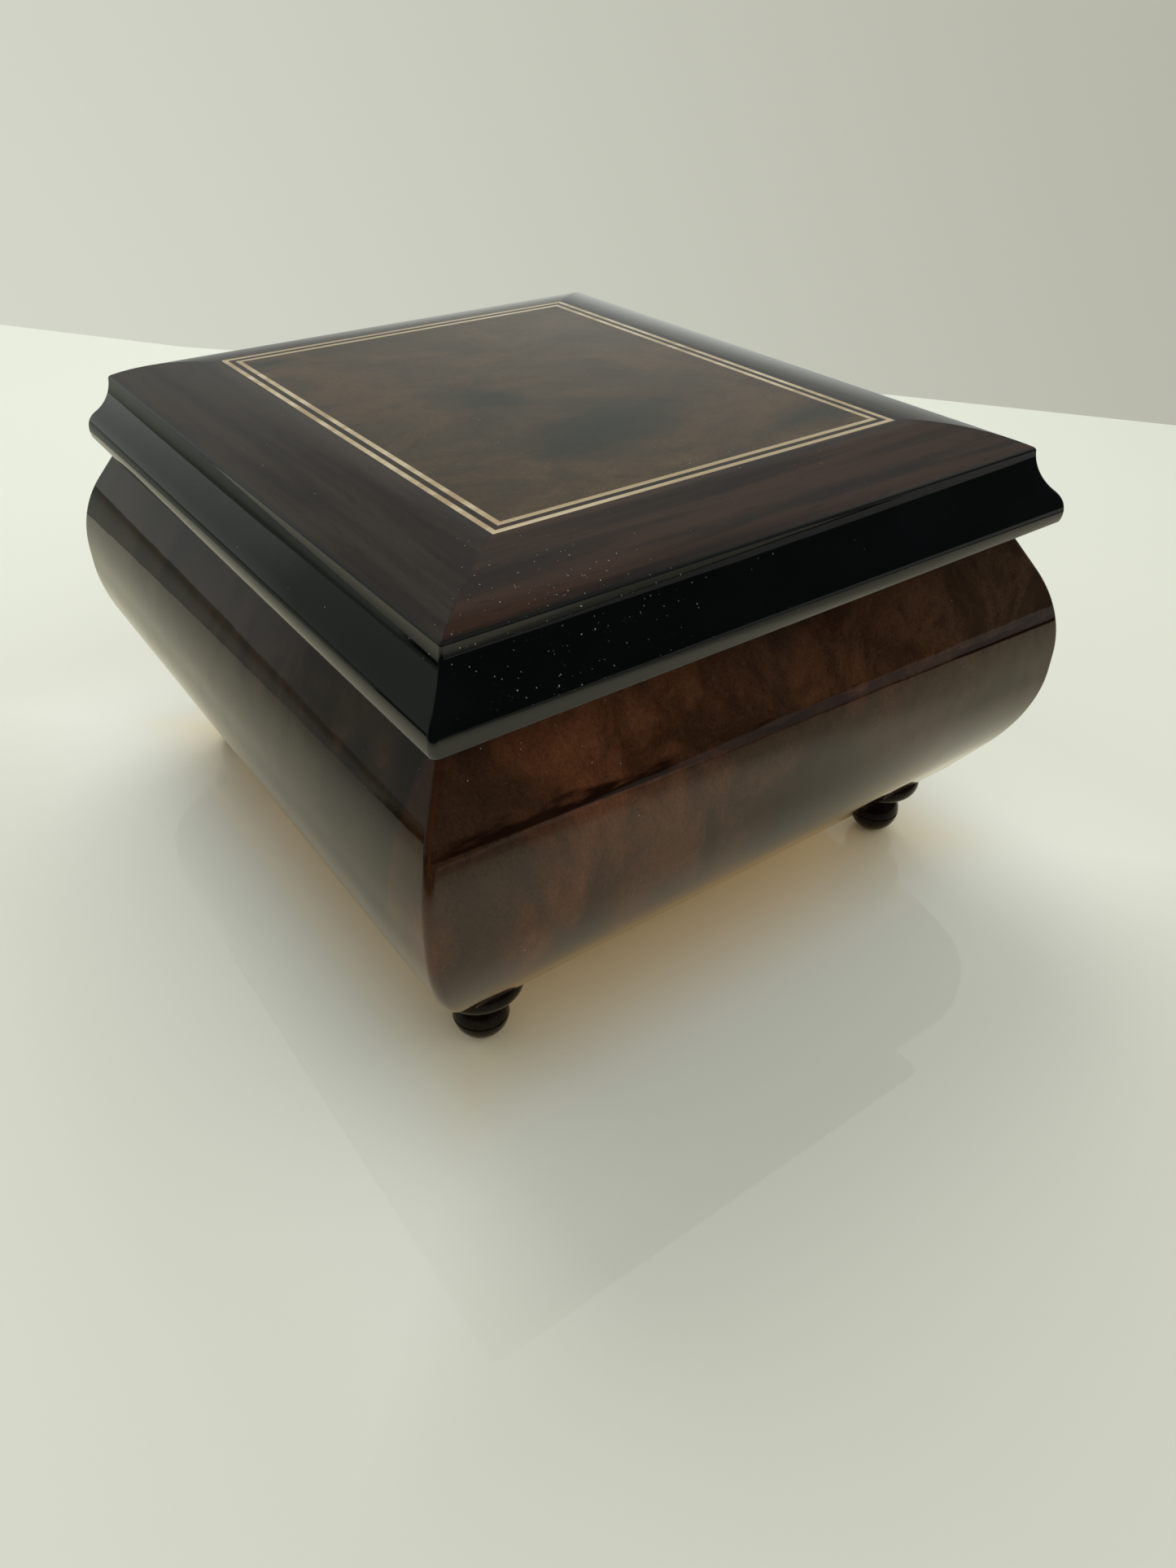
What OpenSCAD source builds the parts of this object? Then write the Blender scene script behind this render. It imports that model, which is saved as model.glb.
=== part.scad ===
// Cylinder music box: a small bombe box with an inlaid lid and an 18-note movement.
// Millimetres. +Z is up, -Y is the front, +Y carries the hinges.
// The origin lies on the surface the feet stand on, under the middle of the body.

/* [Body] */
// Width across the rim
body_w = 103.8; // [98:0.1:112]
// Depth across the rim, front to back
body_d = 122.2; // [120:0.1:136]
// Height from the underside of the bottom board to the rim
body_h = 50; // [48:0.5:54]
// How far the bulge stands out from the rim
bulge = 10.1; // [9:0.1:11]
// Radius of the bulge
bulge_r = 29.5; // [28.5:0.1:30.5]
// Height of the bulge's middle above the underside
bulge_z = 24; // [23.5:0.1:25.5]
// Upright flat in the middle of the bulge
bulge_flat = 2.8; // [1:0.1:4]
// How far the bottom edge stands out from the rim
heel_out = 0.8; // [0.3:0.1:1.5]
// Thickness of the sides at the rim
wall_t = 7.5; // [6.5:0.1:8]
// Thickness of the bottom board
bottom_t = 3.5; // [3:0.1:4]
// Radius of the screws that hold the bottom board
board_screw_r = 1.1; // [0.8:0.1:1.4]
// Length of these screws
board_screw_l = 11; // [8:0.5:14]
// Distance from one of these screws to the next
board_screw_pitch = 34; // [25:0.5:36]

/* [Feet] */
// Height of the feet
foot_h = 17; // [16.5:0.1:20]
// Distance of a foot's middle in from the rim at the left and right
foot_in_x = 6.4; // [6:0.1:9]
// Distance of a foot's middle in from the rim at the front and back
foot_in_y = 9; // [7:0.1:12]
// Radius of the ball
ball_r = 4.6; // [4:0.1:5]
// How much of the ball is cut flat where it stands
ball_flat = 0.25; // [0.1:0.05:0.5]
// Depth of the line turned round the ball's middle
ball_line = 0.2; // [0.1:0.05:0.3]
// Radius of the neck
neck_r = 3; // [2.5:0.1:3.4]
// Radius of the collar
collar_r = 7.3; // [6.5:0.1:7.6]
// Thickness of the collar's rounded edge
collar_t = 4.3; // [3.5:0.1:4.8]
// Height of the collar's seat, from its rounded edge to the bottom board
collar_seat = 3; // [2:0.1:3.4]
// Radius of the seat under the bottom board
seat_r = 5.3; // [4.5:0.1:5.6]
// Radius of the tenon that holds a foot in the bottom board
tenon_r = 2; // [1.5:0.1:2.5]

/* [Lid] */
// How far the lid's top edge stands out past the rim at the left and right
lid_side = 1.1; // [0.5:0.1:2]
// How far it stands out past the rim at the front
lid_front = 2.8; // [2:0.1:3.5]
// How far it stands in from the rim at the back
lid_back = 3; // [2.7:0.1:3.4]
// Thickness of the lid at its edge
lid_t = 11.5; // [10.5:0.1:13]
// How far the nose of the moulding stands out from the top edge
nose_out = 4.7; // [4.5:0.1:5.2]
// Radius of the nose
nose_r = 5.4; // [5:0.1:6]
// Height of the nose above the underside
nose_z = 1.6; // [1:0.1:2]
// Radius of the cove above the nose
cove_r = 11.3; // [10.5:0.1:13]
// Height of the crown above the top edge
crown_h = 3.5; // [2.5:0.1:4.5]
// Width of the crown's rounded border
crown_run = 15; // [12:0.1:15]

/* [Inlay] */
// Thickness of the veneers and the stringing
veneer_t = 0.8; // [0.5:0.1:1.2]
// Width of the black edge left outside the border
lip_w = 0.4; // [0.2:0.1:0.8]
// Width of the border at the left and right, with the black edge
border_x = 16.4; // [15:0.1:18]
// Width of the border at the front and back, with the black edge
border_y = 15.1; // [15:0.1:18]
// Width of each light line
light_w = 0.9; // [0.6:0.1:1.5]
// Width of the dark line
dark_w = 1; // [0.6:0.1:1.5]

/* [Hinges] */
// Distance of the hinges from the middle
hinge_x = 28; // [24:0.5:32]
// Length of a hinge
hinge_l = 20; // [18:0.5:24]
// Length of each outer knuckle
knuckle_l = 6.6; // [5.5:0.1:7]
// Radius of the knuckles
knuckle_r = 1.4; // [1.2:0.1:1.5]
// Radius of the hinge pins
pin_r = 0.7; // [0.5:0.05:0.8]
// How far a pin's head stands out round the pin
pin_head_out = 0.4; // [0.2:0.05:0.5]
// Thickness of a pin's head
pin_head_t = 0.5; // [0.3:0.1:0.8]
// Thickness of a hinge leaf
leaf_t = 0.8; // [0.6:0.1:1]
// How far a leaf reaches in from the back of the rim
leaf_w = 5.6; // [5:0.1:6]
// How far the hinge pin stands out from the back of the rim
hinge_out = 1.75; // [1.7:0.05:2]
// Distance of the leaf screws from the middle of a hinge
leaf_screw_x = 6; // [5:0.1:7]
// Length of the leaf screws
leaf_screw_l = 6; // [4:0.5:8]

/* [Interior] */
// Thickness of the padded velvet under the lid
pad_t = 3; // [2:0.1:4]
// Gap round the velvet pad
pad_gap = 1; // [0.6:0.1:2]
// Thickness of the partition
partition_t = 3; // [2:0.1:4]
// Thickness of the lining's walls
lining_t = 1.2; // [0.8:0.1:2]
// Thickness of the lining's floor
lining_floor = 1.5; // [1:0.1:3]
// Thickness of the clear cover
cover_t = 2; // [1.5:0.1:3]
// Room between the governor's frame and the clear cover
cover_room = 2.1; // [1:0.1:4]
// Width of the ledges that carry the cover
ledge_w = 2; // [1.5:0.1:2.5]
// Height of the ledges
ledge_h = 2.5; // [2:0.1:3]
// Radius of the cover's finger hole
finger_r = 6; // [5:0.5:8]
// Distance of the finger hole's middle from the inner side and the partition
finger_in = 12; // [10:0.5:15]

/* [Bedplate] */
// How far the comb's first tooth lies to the right of the box's middle
movement_x = 0.9; // [0:0.1:3]
// How far the bedplate reaches in front of the cylinder's axis
plate_front = 26.7; // [26.7:0.1:27.5]
// How far it reaches behind the cylinder's axis
plate_back = 19.5; // [19:0.1:20]
// Room between the bedplate and the back of the box
back_room = 2.1; // [1:0.1:4]
// How far it reaches to the left of the comb's first tooth
plate_left = 29.4; // [29:0.1:32]
// How far it reaches to the right of the governor's frame
plate_right = 2.3; // [1.5:0.1:4]
// Radius of the bedplate's corners
plate_round = 3; // [2:0.1:4]
// Thickness of the bedplate
plate_t = 1.8; // [1.5:0.1:2]
// Height of the bedplate's underside above the bottom board
post_h = 3; // [2.5:0.1:4]
// Radius of the posts under the bedplate
post_r = 2.5; // [2.2:0.1:3]
// Distance of the posts in from the bedplate's edges
post_in = 4.5; // [4:0.1:5]
// Distance of the rear post to the left of the cylinder
post_rear_x = 5; // [3:0.1:6]
// Radius of the screws in the posts
post_screw_r = 1; // [0.8:0.05:1.1]

/* [Comb] */
// Teeth on the comb
note_n = 18; // [12:1:18]
// Distance from one comb tooth to the next
note_pitch = 0.95; // [0.85:0.01:0.98]
// Gap between the pins' ends and the comb
comb_gap = 0.15; // [0.1:0.01:0.3]
// Width of the gaps between the comb's teeth
slit_w = 0.2; // [0.1:0.01:0.3]
// Thickness of the comb
comb_t = 0.9; // [0.7:0.1:1.2]
// Length of the longest tooth
tooth_long = 13.5; // [12:0.1:13.8]
// Length of the shortest tooth
tooth_short = 8; // [7:0.1:10]
// Distance of the comb's back edge from the cylinder's axis
comb_back = 26; // [25:0.1:26.5]
// Width of the comb and its base beyond the outer teeth
comb_side = 1.4; // [1:0.1:2]
// Depth of the comb's base, front to back
anvil_d = 4.4; // [4:0.1:4.6]
// Distance from one comb screw to the next
comb_screw_pitch = 6; // [4.5:0.1:6.5]
// Length of the comb screws
comb_screw_l = 7; // [5:0.5:10]
// Teeth that carry a lead weight
weight_n = 7; // [3:1:10]
// Height of the largest weight
weight_h = 1.9; // [1.5:0.1:2.4]
// Height that each next weight loses
weight_step = 0.2; // [0.1:0.01:0.22]
// Width of a weight
weight_w = 0.6; // [0.4:0.05:0.7]
// Length of a weight
weight_l = 2; // [1.5:0.1:3]
// Distance of the weights from the teeth's tips
weight_in = 1.4; // [1:0.1:2]

/* [Cylinder] */
// Height of the cylinder's axis above the bedplate
axis_h = 14.5; // [14.5:0.1:15]
// Radius of the cylinder
cylinder_r = 6.5; // [6:0.1:6.5]
// Length of the cylinder beyond its outer tracks
cylinder_side = 1; // [0.6:0.1:1.2]
// How far the pins stand out of the cylinder
pin_out = 0.5; // [0.3:0.05:0.6]
// Radius of the cylinder's pins
note_pin_r = 0.18; // [0.12:0.01:0.25]
// Pins on each track
pins_per_track = 5; // [2:1:6]
// Depth of the recess in each end of the cylinder
end_recess = 0.8; // [0.4:0.1:1.5]
// Thickness of the cylinder's wall round that recess
end_rim = 1; // [0.6:0.1:1.5]
// Radius of the boss in the middle of that recess
end_boss_r = 2.4; // [2:0.1:3]
// Radius of the arbors
arbor_r = 1; // [0.8:0.05:1.1]
// Thickness of the bearing bracket and of the frame's plates
frame_t = 1.2; // [1:0.1:1.5]
// Thickness of their feet on the bedplate
web_t = 1.4; // [1:0.1:1.8]
// Height of the bearing bracket
bracket_h = 18.2; // [17:0.1:20]
// Half the width of the bearing bracket
bracket_w = 4; // [3:0.1:5]
// Gap between the cylinder and the bearing bracket
bracket_gap = 2.1; // [1:0.1:2.4]
// Length of the bearing bracket's foot
bracket_foot = 6.9; // [6:0.1:8]

/* [Gears] */
// Teeth on the barrel's rim for each tooth of the cylinder's pinion
barrel_ratio = 4; // [3:1:4]
// Teeth on the cylinder's pinion
drive_teeth = 10; // [10:1:12]
// Width of the cylinder's pinion
drive_w = 2; // [1.5:0.1:2.5]
// Teeth on the cylinder's wheel
wheel_teeth = 40; // [36:1:40]
// Teeth on the governor's pinion
pinion_teeth = 8; // [8:1:9]
// Teeth on the governor's wheel
worm_teeth = 30; // [28:1:30]
// Tooth size (module) of the wheels
wheel_m = 0.38; // [0.36:0.01:0.38]
// Thickness of the cylinder's wheel
wheel_t = 1; // [0.8:0.1:1.2]
// Thickness of the governor's wheel
worm_wheel_t = 0.8; // [0.6:0.1:1]
// How far the hubs stand out beside the wheels
hub_out = 0.7; // [0.4:0.1:0.9]
// Thickness of the hubs round the arbors
hub_w = 0.8; // [0.6:0.1:1]
// How far below the cylinder's axis the governor's arbor lies, as an angle
governor_dip = 25; // [22:1:28]

/* [Governor] */
// Space between the two plates of the governor's frame
frame_gap = 3.8; // [3.6:0.1:5]
// Height of the governor's frame
frame_h = 22.6; // [21.5:0.1:23]
// How far the frame reaches in front of the cylinder's axis
frame_front = 4; // [3:0.1:6]
// Distance of its first screw from the frame's front edge
frame_screw_in = 2.5; // [2:0.1:3.5]
// Distance between its two screws
frame_screw_pitch = 6.5; // [5:0.1:8]
// Where the frame's arm over the fly begins, behind the cylinder's axis
arm_y = 6; // [5:0.1:8]
// Thickness of that arm
arm_t = 1.2; // [1:0.1:1.5]
// How far the frame reaches past the fly's shaft
arm_over = 2.4; // [1.5:0.1:3]
// Radius of the worm's middle
worm_r = 1.35; // [1.3:0.01:1.4]
// Half the depth of the worm's thread
worm_e = 0.38; // [0.3:0.01:0.4]
// Turns of the worm's thread
worm_turns = 4; // [3:1:5]
// Radius of the fly's shaft
fly_pivot_r = 0.6; // [0.4:0.05:0.7]
// Reach of the fly's wings
wing_r = 3.9; // [3:0.1:4]
// Thickness of the fly's wings
wing_t = 0.5; // [0.3:0.05:0.8]
// Radius of the fly's hub
fly_hub_r = 1.1; // [0.9:0.05:1.3]

/* [Spring] */
// Radius of the spring barrel
barrel_r = 11.5; // [11.2:0.1:11.6]
// Distance of the barrel's axis to the left of the comb's first tooth
barrel_x = 16.5; // [16.3:0.1:16.7]
// Gap between the bedplate and the barrel
barrel_gap = 2.6; // [2.4:0.1:3]
// Thickness of the barrel's wall
barrel_wall = 0.9; // [0.7:0.1:1.2]
// Thickness of the barrel's top
barrel_top_t = 1.2; // [0.8:0.1:1.5]
// Thickness of the barrel's cover
barrel_cover_t = 1; // [0.6:0.1:1.4]
// Width of the teeth on the barrel's rim
crown_w = 2; // [1.5:0.1:2.2]
// Radius of the winding arbor
winder_r = 2; // [1.6:0.1:2.2]
// Width of the winding arbor's top collar
winder_collar = 1.2; // [0.8:0.1:2]
// Thickness of that collar
winder_collar_t = 1; // [0.5:0.1:1.5]
// Turns of the mainspring
spring_turns = 7; // [5:1:8]
// Thickness of the mainspring
spring_t = 0.25; // [0.2:0.01:0.3]

/* [Winding] */
// Teeth on the ratchet wheel
ratchet_teeth = 16; // [12:1:20]
// Outer radius of the ratchet wheel
ratchet_r = 6.5; // [6:0.1:7]
// Depth of the ratchet's teeth
ratchet_depth = 1.1; // [0.7:0.1:1.4]
// Thickness of the ratchet wheel and the click
ratchet_t = 1.2; // [0.8:0.1:1.6]
// Distance of the click's pivot from the ratchet's teeth
click_off = 3.2; // [2.8:0.1:3.6]
// Radius of the click's eye
click_eye_r = 1.7; // [1.5:0.1:2]
// Width of the click
click_w = 1.6; // [1.2:0.1:1.8]
// Where the click meets the ratchet wheel, as an angle
click_at = 50; // [45:1:60]
// Thickness of the click's spring
blade_t = 0.3; // [0.2:0.05:0.4]
// Gap between the click and its spring
blade_gap = 0.45; // [0.4:0.01:0.6]
// Radius of the post that holds the click's spring
blade_post_r = 1; // [0.9:0.05:1.3]
// Radius of each lobe of the winding key
key_lobe_r = 5; // [4:0.1:5.2]
// Distance of each lobe from the key's middle
key_lobe_x = 6; // [5:0.1:7]
// Thickness of the key's handle
key_t = 1.8; // [1.4:0.1:2.4]
// Height of the key's web between the lobes
key_web = 4; // [3:0.1:6]
// Radius of the key's hub
key_hub_r = 3.2; // [2.8:0.1:3.5]
// Depth of the hub below the top of the handle
key_hub_in = 2; // [1:0.1:3]
// Height of the key above the surface
key_z = 2.2; // [1.8:0.1:2.6]
// Gap between the key's hub and the bottom board
key_gap = 0.6; // [0.4:0.1:1]
// Gap round the winding arbor where it passes through the bottom board
arbor_hole_gap = 2; // [1:0.1:3]

/* [Stop lever] */
// Distance of the lever's pivot behind the cylinder's axis
lever_y = 6; // [4:0.1:8]
// Distance of the lever's wire in front of the cylinder's axis
lever_front = 6; // [4:0.1:8]
// How far the lever's tip reaches past the fly's shaft
lever_over = 0.6; // [0:0.1:2]
// Width of the lever
lever_w = 2.4; // [2:0.1:3]
// Thickness of the lever
lever_t = 0.8; // [0.6:0.1:1]
// Radius of the lever's eye
lever_eye_r = 2; // [1.8:0.1:2.4]
// Radius of the stud that the lever turns on
lever_stud_r = 1; // [0.8:0.05:1.2]
// Radius of the lever's upright wire
lever_wire_r = 0.5; // [0.4:0.05:0.7]
// How far the heads of its stud and of the click's stud stand out round the stud
stud_head_out = 0.6; // [0.4:0.1:0.8]
// Thickness of these heads
stud_head_t = 0.6; // [0.4:0.1:0.9]
// Gap round the wire where it passes through the clear cover
wire_gap = 1; // [0.8:0.1:1.5]
// How far the lever swings, as an angle
lever_swing = 8; // [6:1:9]

/* [Screws] */
// Radius of the small screws
screw_r = 0.8; // [0.6:0.05:0.9]
// Radius of the small screws' heads
head_r = 1.5; // [1.3:0.1:1.8]
// Thickness of the small screws' heads
head_t = 0.9; // [0.6:0.1:1.2]
// Width of their slots
slot_w = 0.4; // [0.3:0.05:0.6]

/* [Clearances] */
// Radial clearance of a running fit
run = 0.05; // [0.03:0.01:0.08]
// Clearance round pieces that don't move
slack = 0.1; // [0.05:0.01:0.2]
// Clearance beside moving pieces
side_gap = 0.3; // [0.25:0.01:0.4]
// Extra distance between the middles of two meshing wheels
shake = 0.06; // [0.03:0.01:0.1]
// How far an arbor stands out of its bearing
arbor_out = 0.3; // [0.2:0.05:0.5]

/* [Hidden] */
$fn = 48;
far = 400;
eps = 0.01;
lap = 1;

// Body
rim_z = foot_h + body_h;
floor_z = foot_h + bottom_t;
inner_w = body_w - 2 * wall_t;
inner_d = body_d - 2 * wall_t;
foot_x = body_w / 2 - foot_in_x;
foot_y = body_d / 2 - foot_in_y;
mitre = (body_d - body_w) / 2;
board_screw_x = (body_w - wall_t) / 2;
board_screws = [for (x = [-1, 1], y = [-1, 0, 1]) [x * board_screw_x, y * board_screw_pitch]];

// Bulge: two arcs of one radius with an upright flat between them. A straight flank runs
// from the rim to the upper arc and from the bottom edge to the lower arc.
arc_x = bulge - bulge_r;
arc_top = bulge_z + bulge_flat / 2;
arc_low = bulge_z - bulge_flat / 2;
lean_top = atan2(body_h - arc_top, -arc_x) - acos(bulge_r / norm([arc_x, body_h - arc_top]));
lean_low = atan2(arc_low, heel_out - arc_x) - acos(bulge_r / norm([heel_out - arc_x, arc_low]));

// Lid
lid_w = body_w + 2 * lid_side;
lid_d = body_d + lid_front - lid_back;
lid_forward = (lid_front + lid_back) / 2;

// Lid moulding: the cove's circle touches the nose's circle and passes the top edge.
nose_c = [nose_out - nose_r, nose_z];
lid_edge = [0, lid_t];
edge_span = norm(lid_edge - nose_c);
edge_dir = (lid_edge - nose_c) / edge_span;
reach = nose_r + cove_r;
along = (reach * reach - cove_r * cove_r + edge_span * edge_span) / (2 * edge_span);
across = sqrt(reach * reach - along * along);
cove_c = nose_c + along * edge_dir + across * [edge_dir[1], -edge_dir[0]];
touch = nose_c + (cove_c - nose_c) * nose_r / reach;
crown_r = (crown_run * crown_run + crown_h * crown_h) / (2 * crown_h);
inlay_z = lid_t + crown_h - veneer_t;
lines_w = 2 * light_w + dark_w;

// Hinges
hinge_y = body_d / 2 + hinge_out;
mid_knuckle = hinge_l - 2 * knuckle_l - 2 * side_gap;
pin_head_r = pin_r + pin_head_out;
recess_r = knuckle_r + side_gap;
recess_l = hinge_l + 2 * pin_head_t + 2 * side_gap;
leaf_screw_y = body_d / 2 - leaf_w / 2;

// Movement, placed from the top of its bedplate, the cylinder's axis and the comb's first tooth
movement_y = inner_d / 2 - back_room - plate_back;
plate_z = floor_z + post_h + plate_t;

// Partition and clear cover, which enclose the movement
partition_back = movement_y - plate_front - side_gap;
partition_y = partition_back - partition_t;
cover_z = plate_z + frame_h + cover_room;

// Cylinder and comb
tracks_l = (note_n - 1) * note_pitch;
tip_y = cylinder_r + pin_out + comb_gap;
comb_x = [-comb_side, tracks_l + comb_side];
comb_z = [axis_h - comb_t / 2, axis_h + comb_t / 2];
cylinder_x = [-cylinder_side, tracks_l + cylinder_side];

// To the left of the cylinder: the bearing bracket, the pinion and the spring barrel
bearing_x = [cylinder_x[0] - bracket_gap - frame_t, cylinder_x[0] - bracket_gap];
drive_x = [bearing_x[0] - side_gap - hub_out - drive_w, bearing_x[0] - side_gap - hub_out];
crown_teeth = drive_teeth * barrel_ratio;
crown_x = barrel_x + (drive_x[0] + drive_x[1]) / 2;
drive_m = 2 * crown_x / crown_teeth;
drive_r = drive_m * drive_teeth / 2;

// To its right: its wheel, the governor's frame and the fly
pinion_side = side_gap;
wheel_x = [cylinder_x[1] + side_gap, cylinder_x[1] + side_gap + wheel_t];
frame_a = [wheel_x[1] + pinion_side + side_gap, wheel_x[1] + pinion_side + side_gap + frame_t];
frame_b = [frame_a[1] + frame_gap, frame_a[1] + frame_gap + frame_t];
gov_d = wheel_m * (wheel_teeth + pinion_teeth) / 2 + shake;
gov_y = gov_d * cos(governor_dip);
gov_z = axis_h - gov_d * sin(governor_dip);
fly_x = (frame_a[1] + frame_b[0]) / 2;
worm_wheel_r = wheel_m * worm_teeth / 2;
worm_lead = PI * wheel_m;
worm_fn = 14;
fly_y = gov_y + worm_wheel_r + worm_r;
frame_y = [-frame_front, fly_y - wing_r - side_gap];

// Tooth forms, in modules: height above and depth below the pitch circle, then half the
// tooth's width at its tip, on the pitch circle and at its root.
pinion_form = [0.9, 1.2, 0.2, 0.5, 0.72];
wheel_form = [0.85, 1.2, 0.22, 0.5, 0.75];
worm_wheel_form = [0.65, 1.15, 0.16, 0.36, 0.66];
// The same for the teeth on the barrel's rim: depth below the pitch line, whole height, then
// half the width at the root, on the pitch line and at the tip.
crown_form = [1.15, 2, 0.66, 0.5, 0.2];
// Holes that lighten the wheels: how many, the radius of their circle and of each hole
wheel_holes = [5, 4.3, 1.6];
worm_wheel_holes = [5, 3.5, 1.2];

// The fly turns clear of the governor's wheel, under the frame's arm.
worm_wheel_tip = worm_wheel_r + worm_wheel_form[0] * wheel_m;
wing_in = worm_wheel_r + worm_r - wing_r;
wing_z = [gov_z + sqrt(worm_wheel_tip * worm_wheel_tip - wing_in * wing_in) + side_gap,
    frame_h - arm_t - side_gap];

// Bedplate, its posts and the small screws: [x, y, height of the head's seat, length]
plate_x = [-plate_left, frame_b[1] + plate_right];
plate_y = [-plate_front, plate_back];
posts = [[plate_x[0] + post_in, plate_y[0] + post_in], [plate_x[1] - post_in, plate_y[0] + post_in],
    [-post_rear_x, plate_y[1] - post_in]];
comb_screw_y = -comb_back + anvil_d / 2;
bracket_screw_x = (bearing_x[1] + bearing_x[0] + bracket_foot) / 2;
frame_screws_y = [frame_y[0] + frame_screw_in, frame_y[0] + frame_screw_in + frame_screw_pitch];
screw_places = concat(
    [for (k = [-1, 0, 1]) [tracks_l / 2 + k * comb_screw_pitch, comb_screw_y, comb_z[1], comb_screw_l]],
    [[bracket_screw_x, 0, web_t, web_t + plate_t]],
    [for (y = frame_screws_y) [fly_x, y, web_t, web_t + plate_t]]);

// Spring barrel and mainspring
crown_pitch_z = axis_h - drive_r - shake;
crown_root_z = crown_pitch_z - crown_form[0] * drive_m;
spring_z = [barrel_gap + barrel_cover_t + side_gap, crown_root_z - barrel_top_t - side_gap];
spring_in = winder_r + side_gap;
spring_out = barrel_r - barrel_wall - side_gap;
spring_step = 18;

// Ratchet, click and winding key
ratchet_z = [side_gap, side_gap + ratchet_t];
ratchet_lean = 0.92;
click_pivot = [-barrel_x, -ratchet_r - click_off];
click_tip = [-barrel_x, 0] + (ratchet_r + side_gap) * [cos(click_at), -sin(click_at)];
click_l = norm(click_tip - click_pivot);
click_dir = (click_tip - click_pivot) / click_l;
click_out = [click_dir[1], -click_dir[0]];
click_nose = 1.4;
click_flat = 0.2;
blade_end = click_pivot + 0.6 * click_l * click_dir + (click_w / 2 + blade_gap + blade_t / 2) * click_out;
blade_post = click_pivot + [click_l + click_nose, -click_w / 2];
blade_l = norm(blade_end - blade_post);
key_hub = [key_z + 2 * key_lobe_r - key_hub_in, foot_h - key_gap];
key_socket_z = key_hub[0] + 1;

// Stop lever, on the outside of the governor's frame
lever_x = [fly_x + wing_r + side_gap, fly_x + wing_r + side_gap + lever_t];
lever_pivot = [lever_y, (wing_z[0] + wing_z[1]) / 2];
lever_top = rim_z - pad_t - side_gap - plate_z;
wire_x = (lever_x[0] + lever_x[1]) / 2;
wire_travel = (cover_z + cover_t - plate_z - lever_pivot[1]) * sin(lever_swing);
wire_hole_r = lever_wire_r + wire_gap;
stud_head_r = lever_stud_r + stud_head_out;

// ---------------------------------------------------------------- outlines

// Half of the body's upright section, w wide at the rim
module body_half(w) {
    c = w / 2 + arc_x;
    t1 = [c + bulge_r * cos(lean_top), arc_top + bulge_r * sin(lean_top)];
    t2 = [c + bulge_r * cos(lean_low), arc_low - bulge_r * sin(lean_low)];
    intersection() {
        union() {
            polygon([[-lap, 0], [w / 2 + heel_out, 0], t2, t1, [w / 2, body_h], [-lap, body_h]]);
            translate([c, arc_top]) circle(r = bulge_r);
            translate([c, arc_low]) circle(r = bulge_r);
            translate([c, arc_low]) square([bulge_r, bulge_flat]);
        }
        translate([-lap, 0]) square([far, body_h]);
    }
}

module body_section(w) {
    body_half(w);
    mirror([1, 0]) body_half(w);
}

// Half of the lid's upright section, w wide between its top edges
module lid_half(w) {
    h = w / 2;
    difference() {
        translate([-lap, 0]) square([h + touch[0] + lap, lid_t]);
        translate([h, 0] + cove_c) circle(r = cove_r);
    }
    intersection() {
        translate([h, 0] + nose_c) circle(r = nose_r);
        translate([h - lap, 0]) square([far, touch[1]]);
    }
    crown_half(w);
}

// The softly rounded top of the lid
module crown_half(w) {
    h = w / 2;
    difference() {
        translate([-lap, lid_t - lap]) square([h + lap, lap + crown_h]);
        difference() {
            translate([h - crown_run, lid_t]) square([far, far]);
            translate([h - crown_run, lid_t + crown_h - crown_r]) circle(r = crown_r);
        }
    }
}

module lid_section(w) {
    lid_half(w);
    mirror([1, 0]) lid_half(w);
}

module crown_section(w) {
    crown_half(w);
    mirror([1, 0]) crown_half(w);
    translate([-w / 2, 0]) square([w, lid_t]);
}

// Extrudes an upright section along Y or along X
module along_y(l) {
    translate([0, l / 2, 0]) rotate([90, 0, 0]) linear_extrude(l) children();
}

module along_x(l) {
    rotate([0, 0, 90]) along_y(l) children();
}

module block(x, y, z) {
    translate([x[0], y[0], z[0]]) cube([x[1] - x[0], y[1] - y[0], z[1] - z[0]]);
}

module in_movement() {
    translate([movement_x, movement_y, plate_z]) children();
}

// A cylinder along X from x[0] to x[1] at a place [y, z]
module rod_x(x, at, r) {
    translate([x[0], at[0], at[1]]) rotate([0, 90, 0]) cylinder(h = x[1] - x[0], r = r);
}

module rod_z(at, z, r) {
    translate([at[0], at[1], z[0]]) cylinder(h = z[1] - z[0], r = r);
}

// ---------------------------------------------------------------- case

module body_block() {
    translate([0, 0, foot_h]) intersection() {
        along_y(far) body_section(body_w);
        along_x(far) body_section(body_d);
    }
}

// Plan of the front side's mitred wedge; the other three are turned or mirrored
module front_wedge() {
    polygon([[0, -mitre], [far, -mitre - far], [-far, -mitre - far]]);
}

module right_wedge() {
    polygon([[0, mitre], [far, mitre + far], [far, -mitre - far], [0, -mitre]]);
}

module side_plank(w, d) {
    difference() {
        translate([0, 0, foot_h]) along_x(far) body_section(d);
        block([-far, far], [-d / 2 + wall_t, far], [0, far]);
        block([-far, far], [-far, far], [0, floor_z]);
    }
}

module front_plank() {
    intersection() {
        side_plank(body_w, body_d);
        linear_extrude(far) front_wedge();
    }
}

module right_plank() {
    intersection() {
        rotate([0, 0, 90]) side_plank(body_d, body_w);
        linear_extrude(far) right_wedge();
    }
}

module front_side() {
    color("sienna") difference() {
        front_plank();
        board_screw_holes();
    }
}

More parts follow.
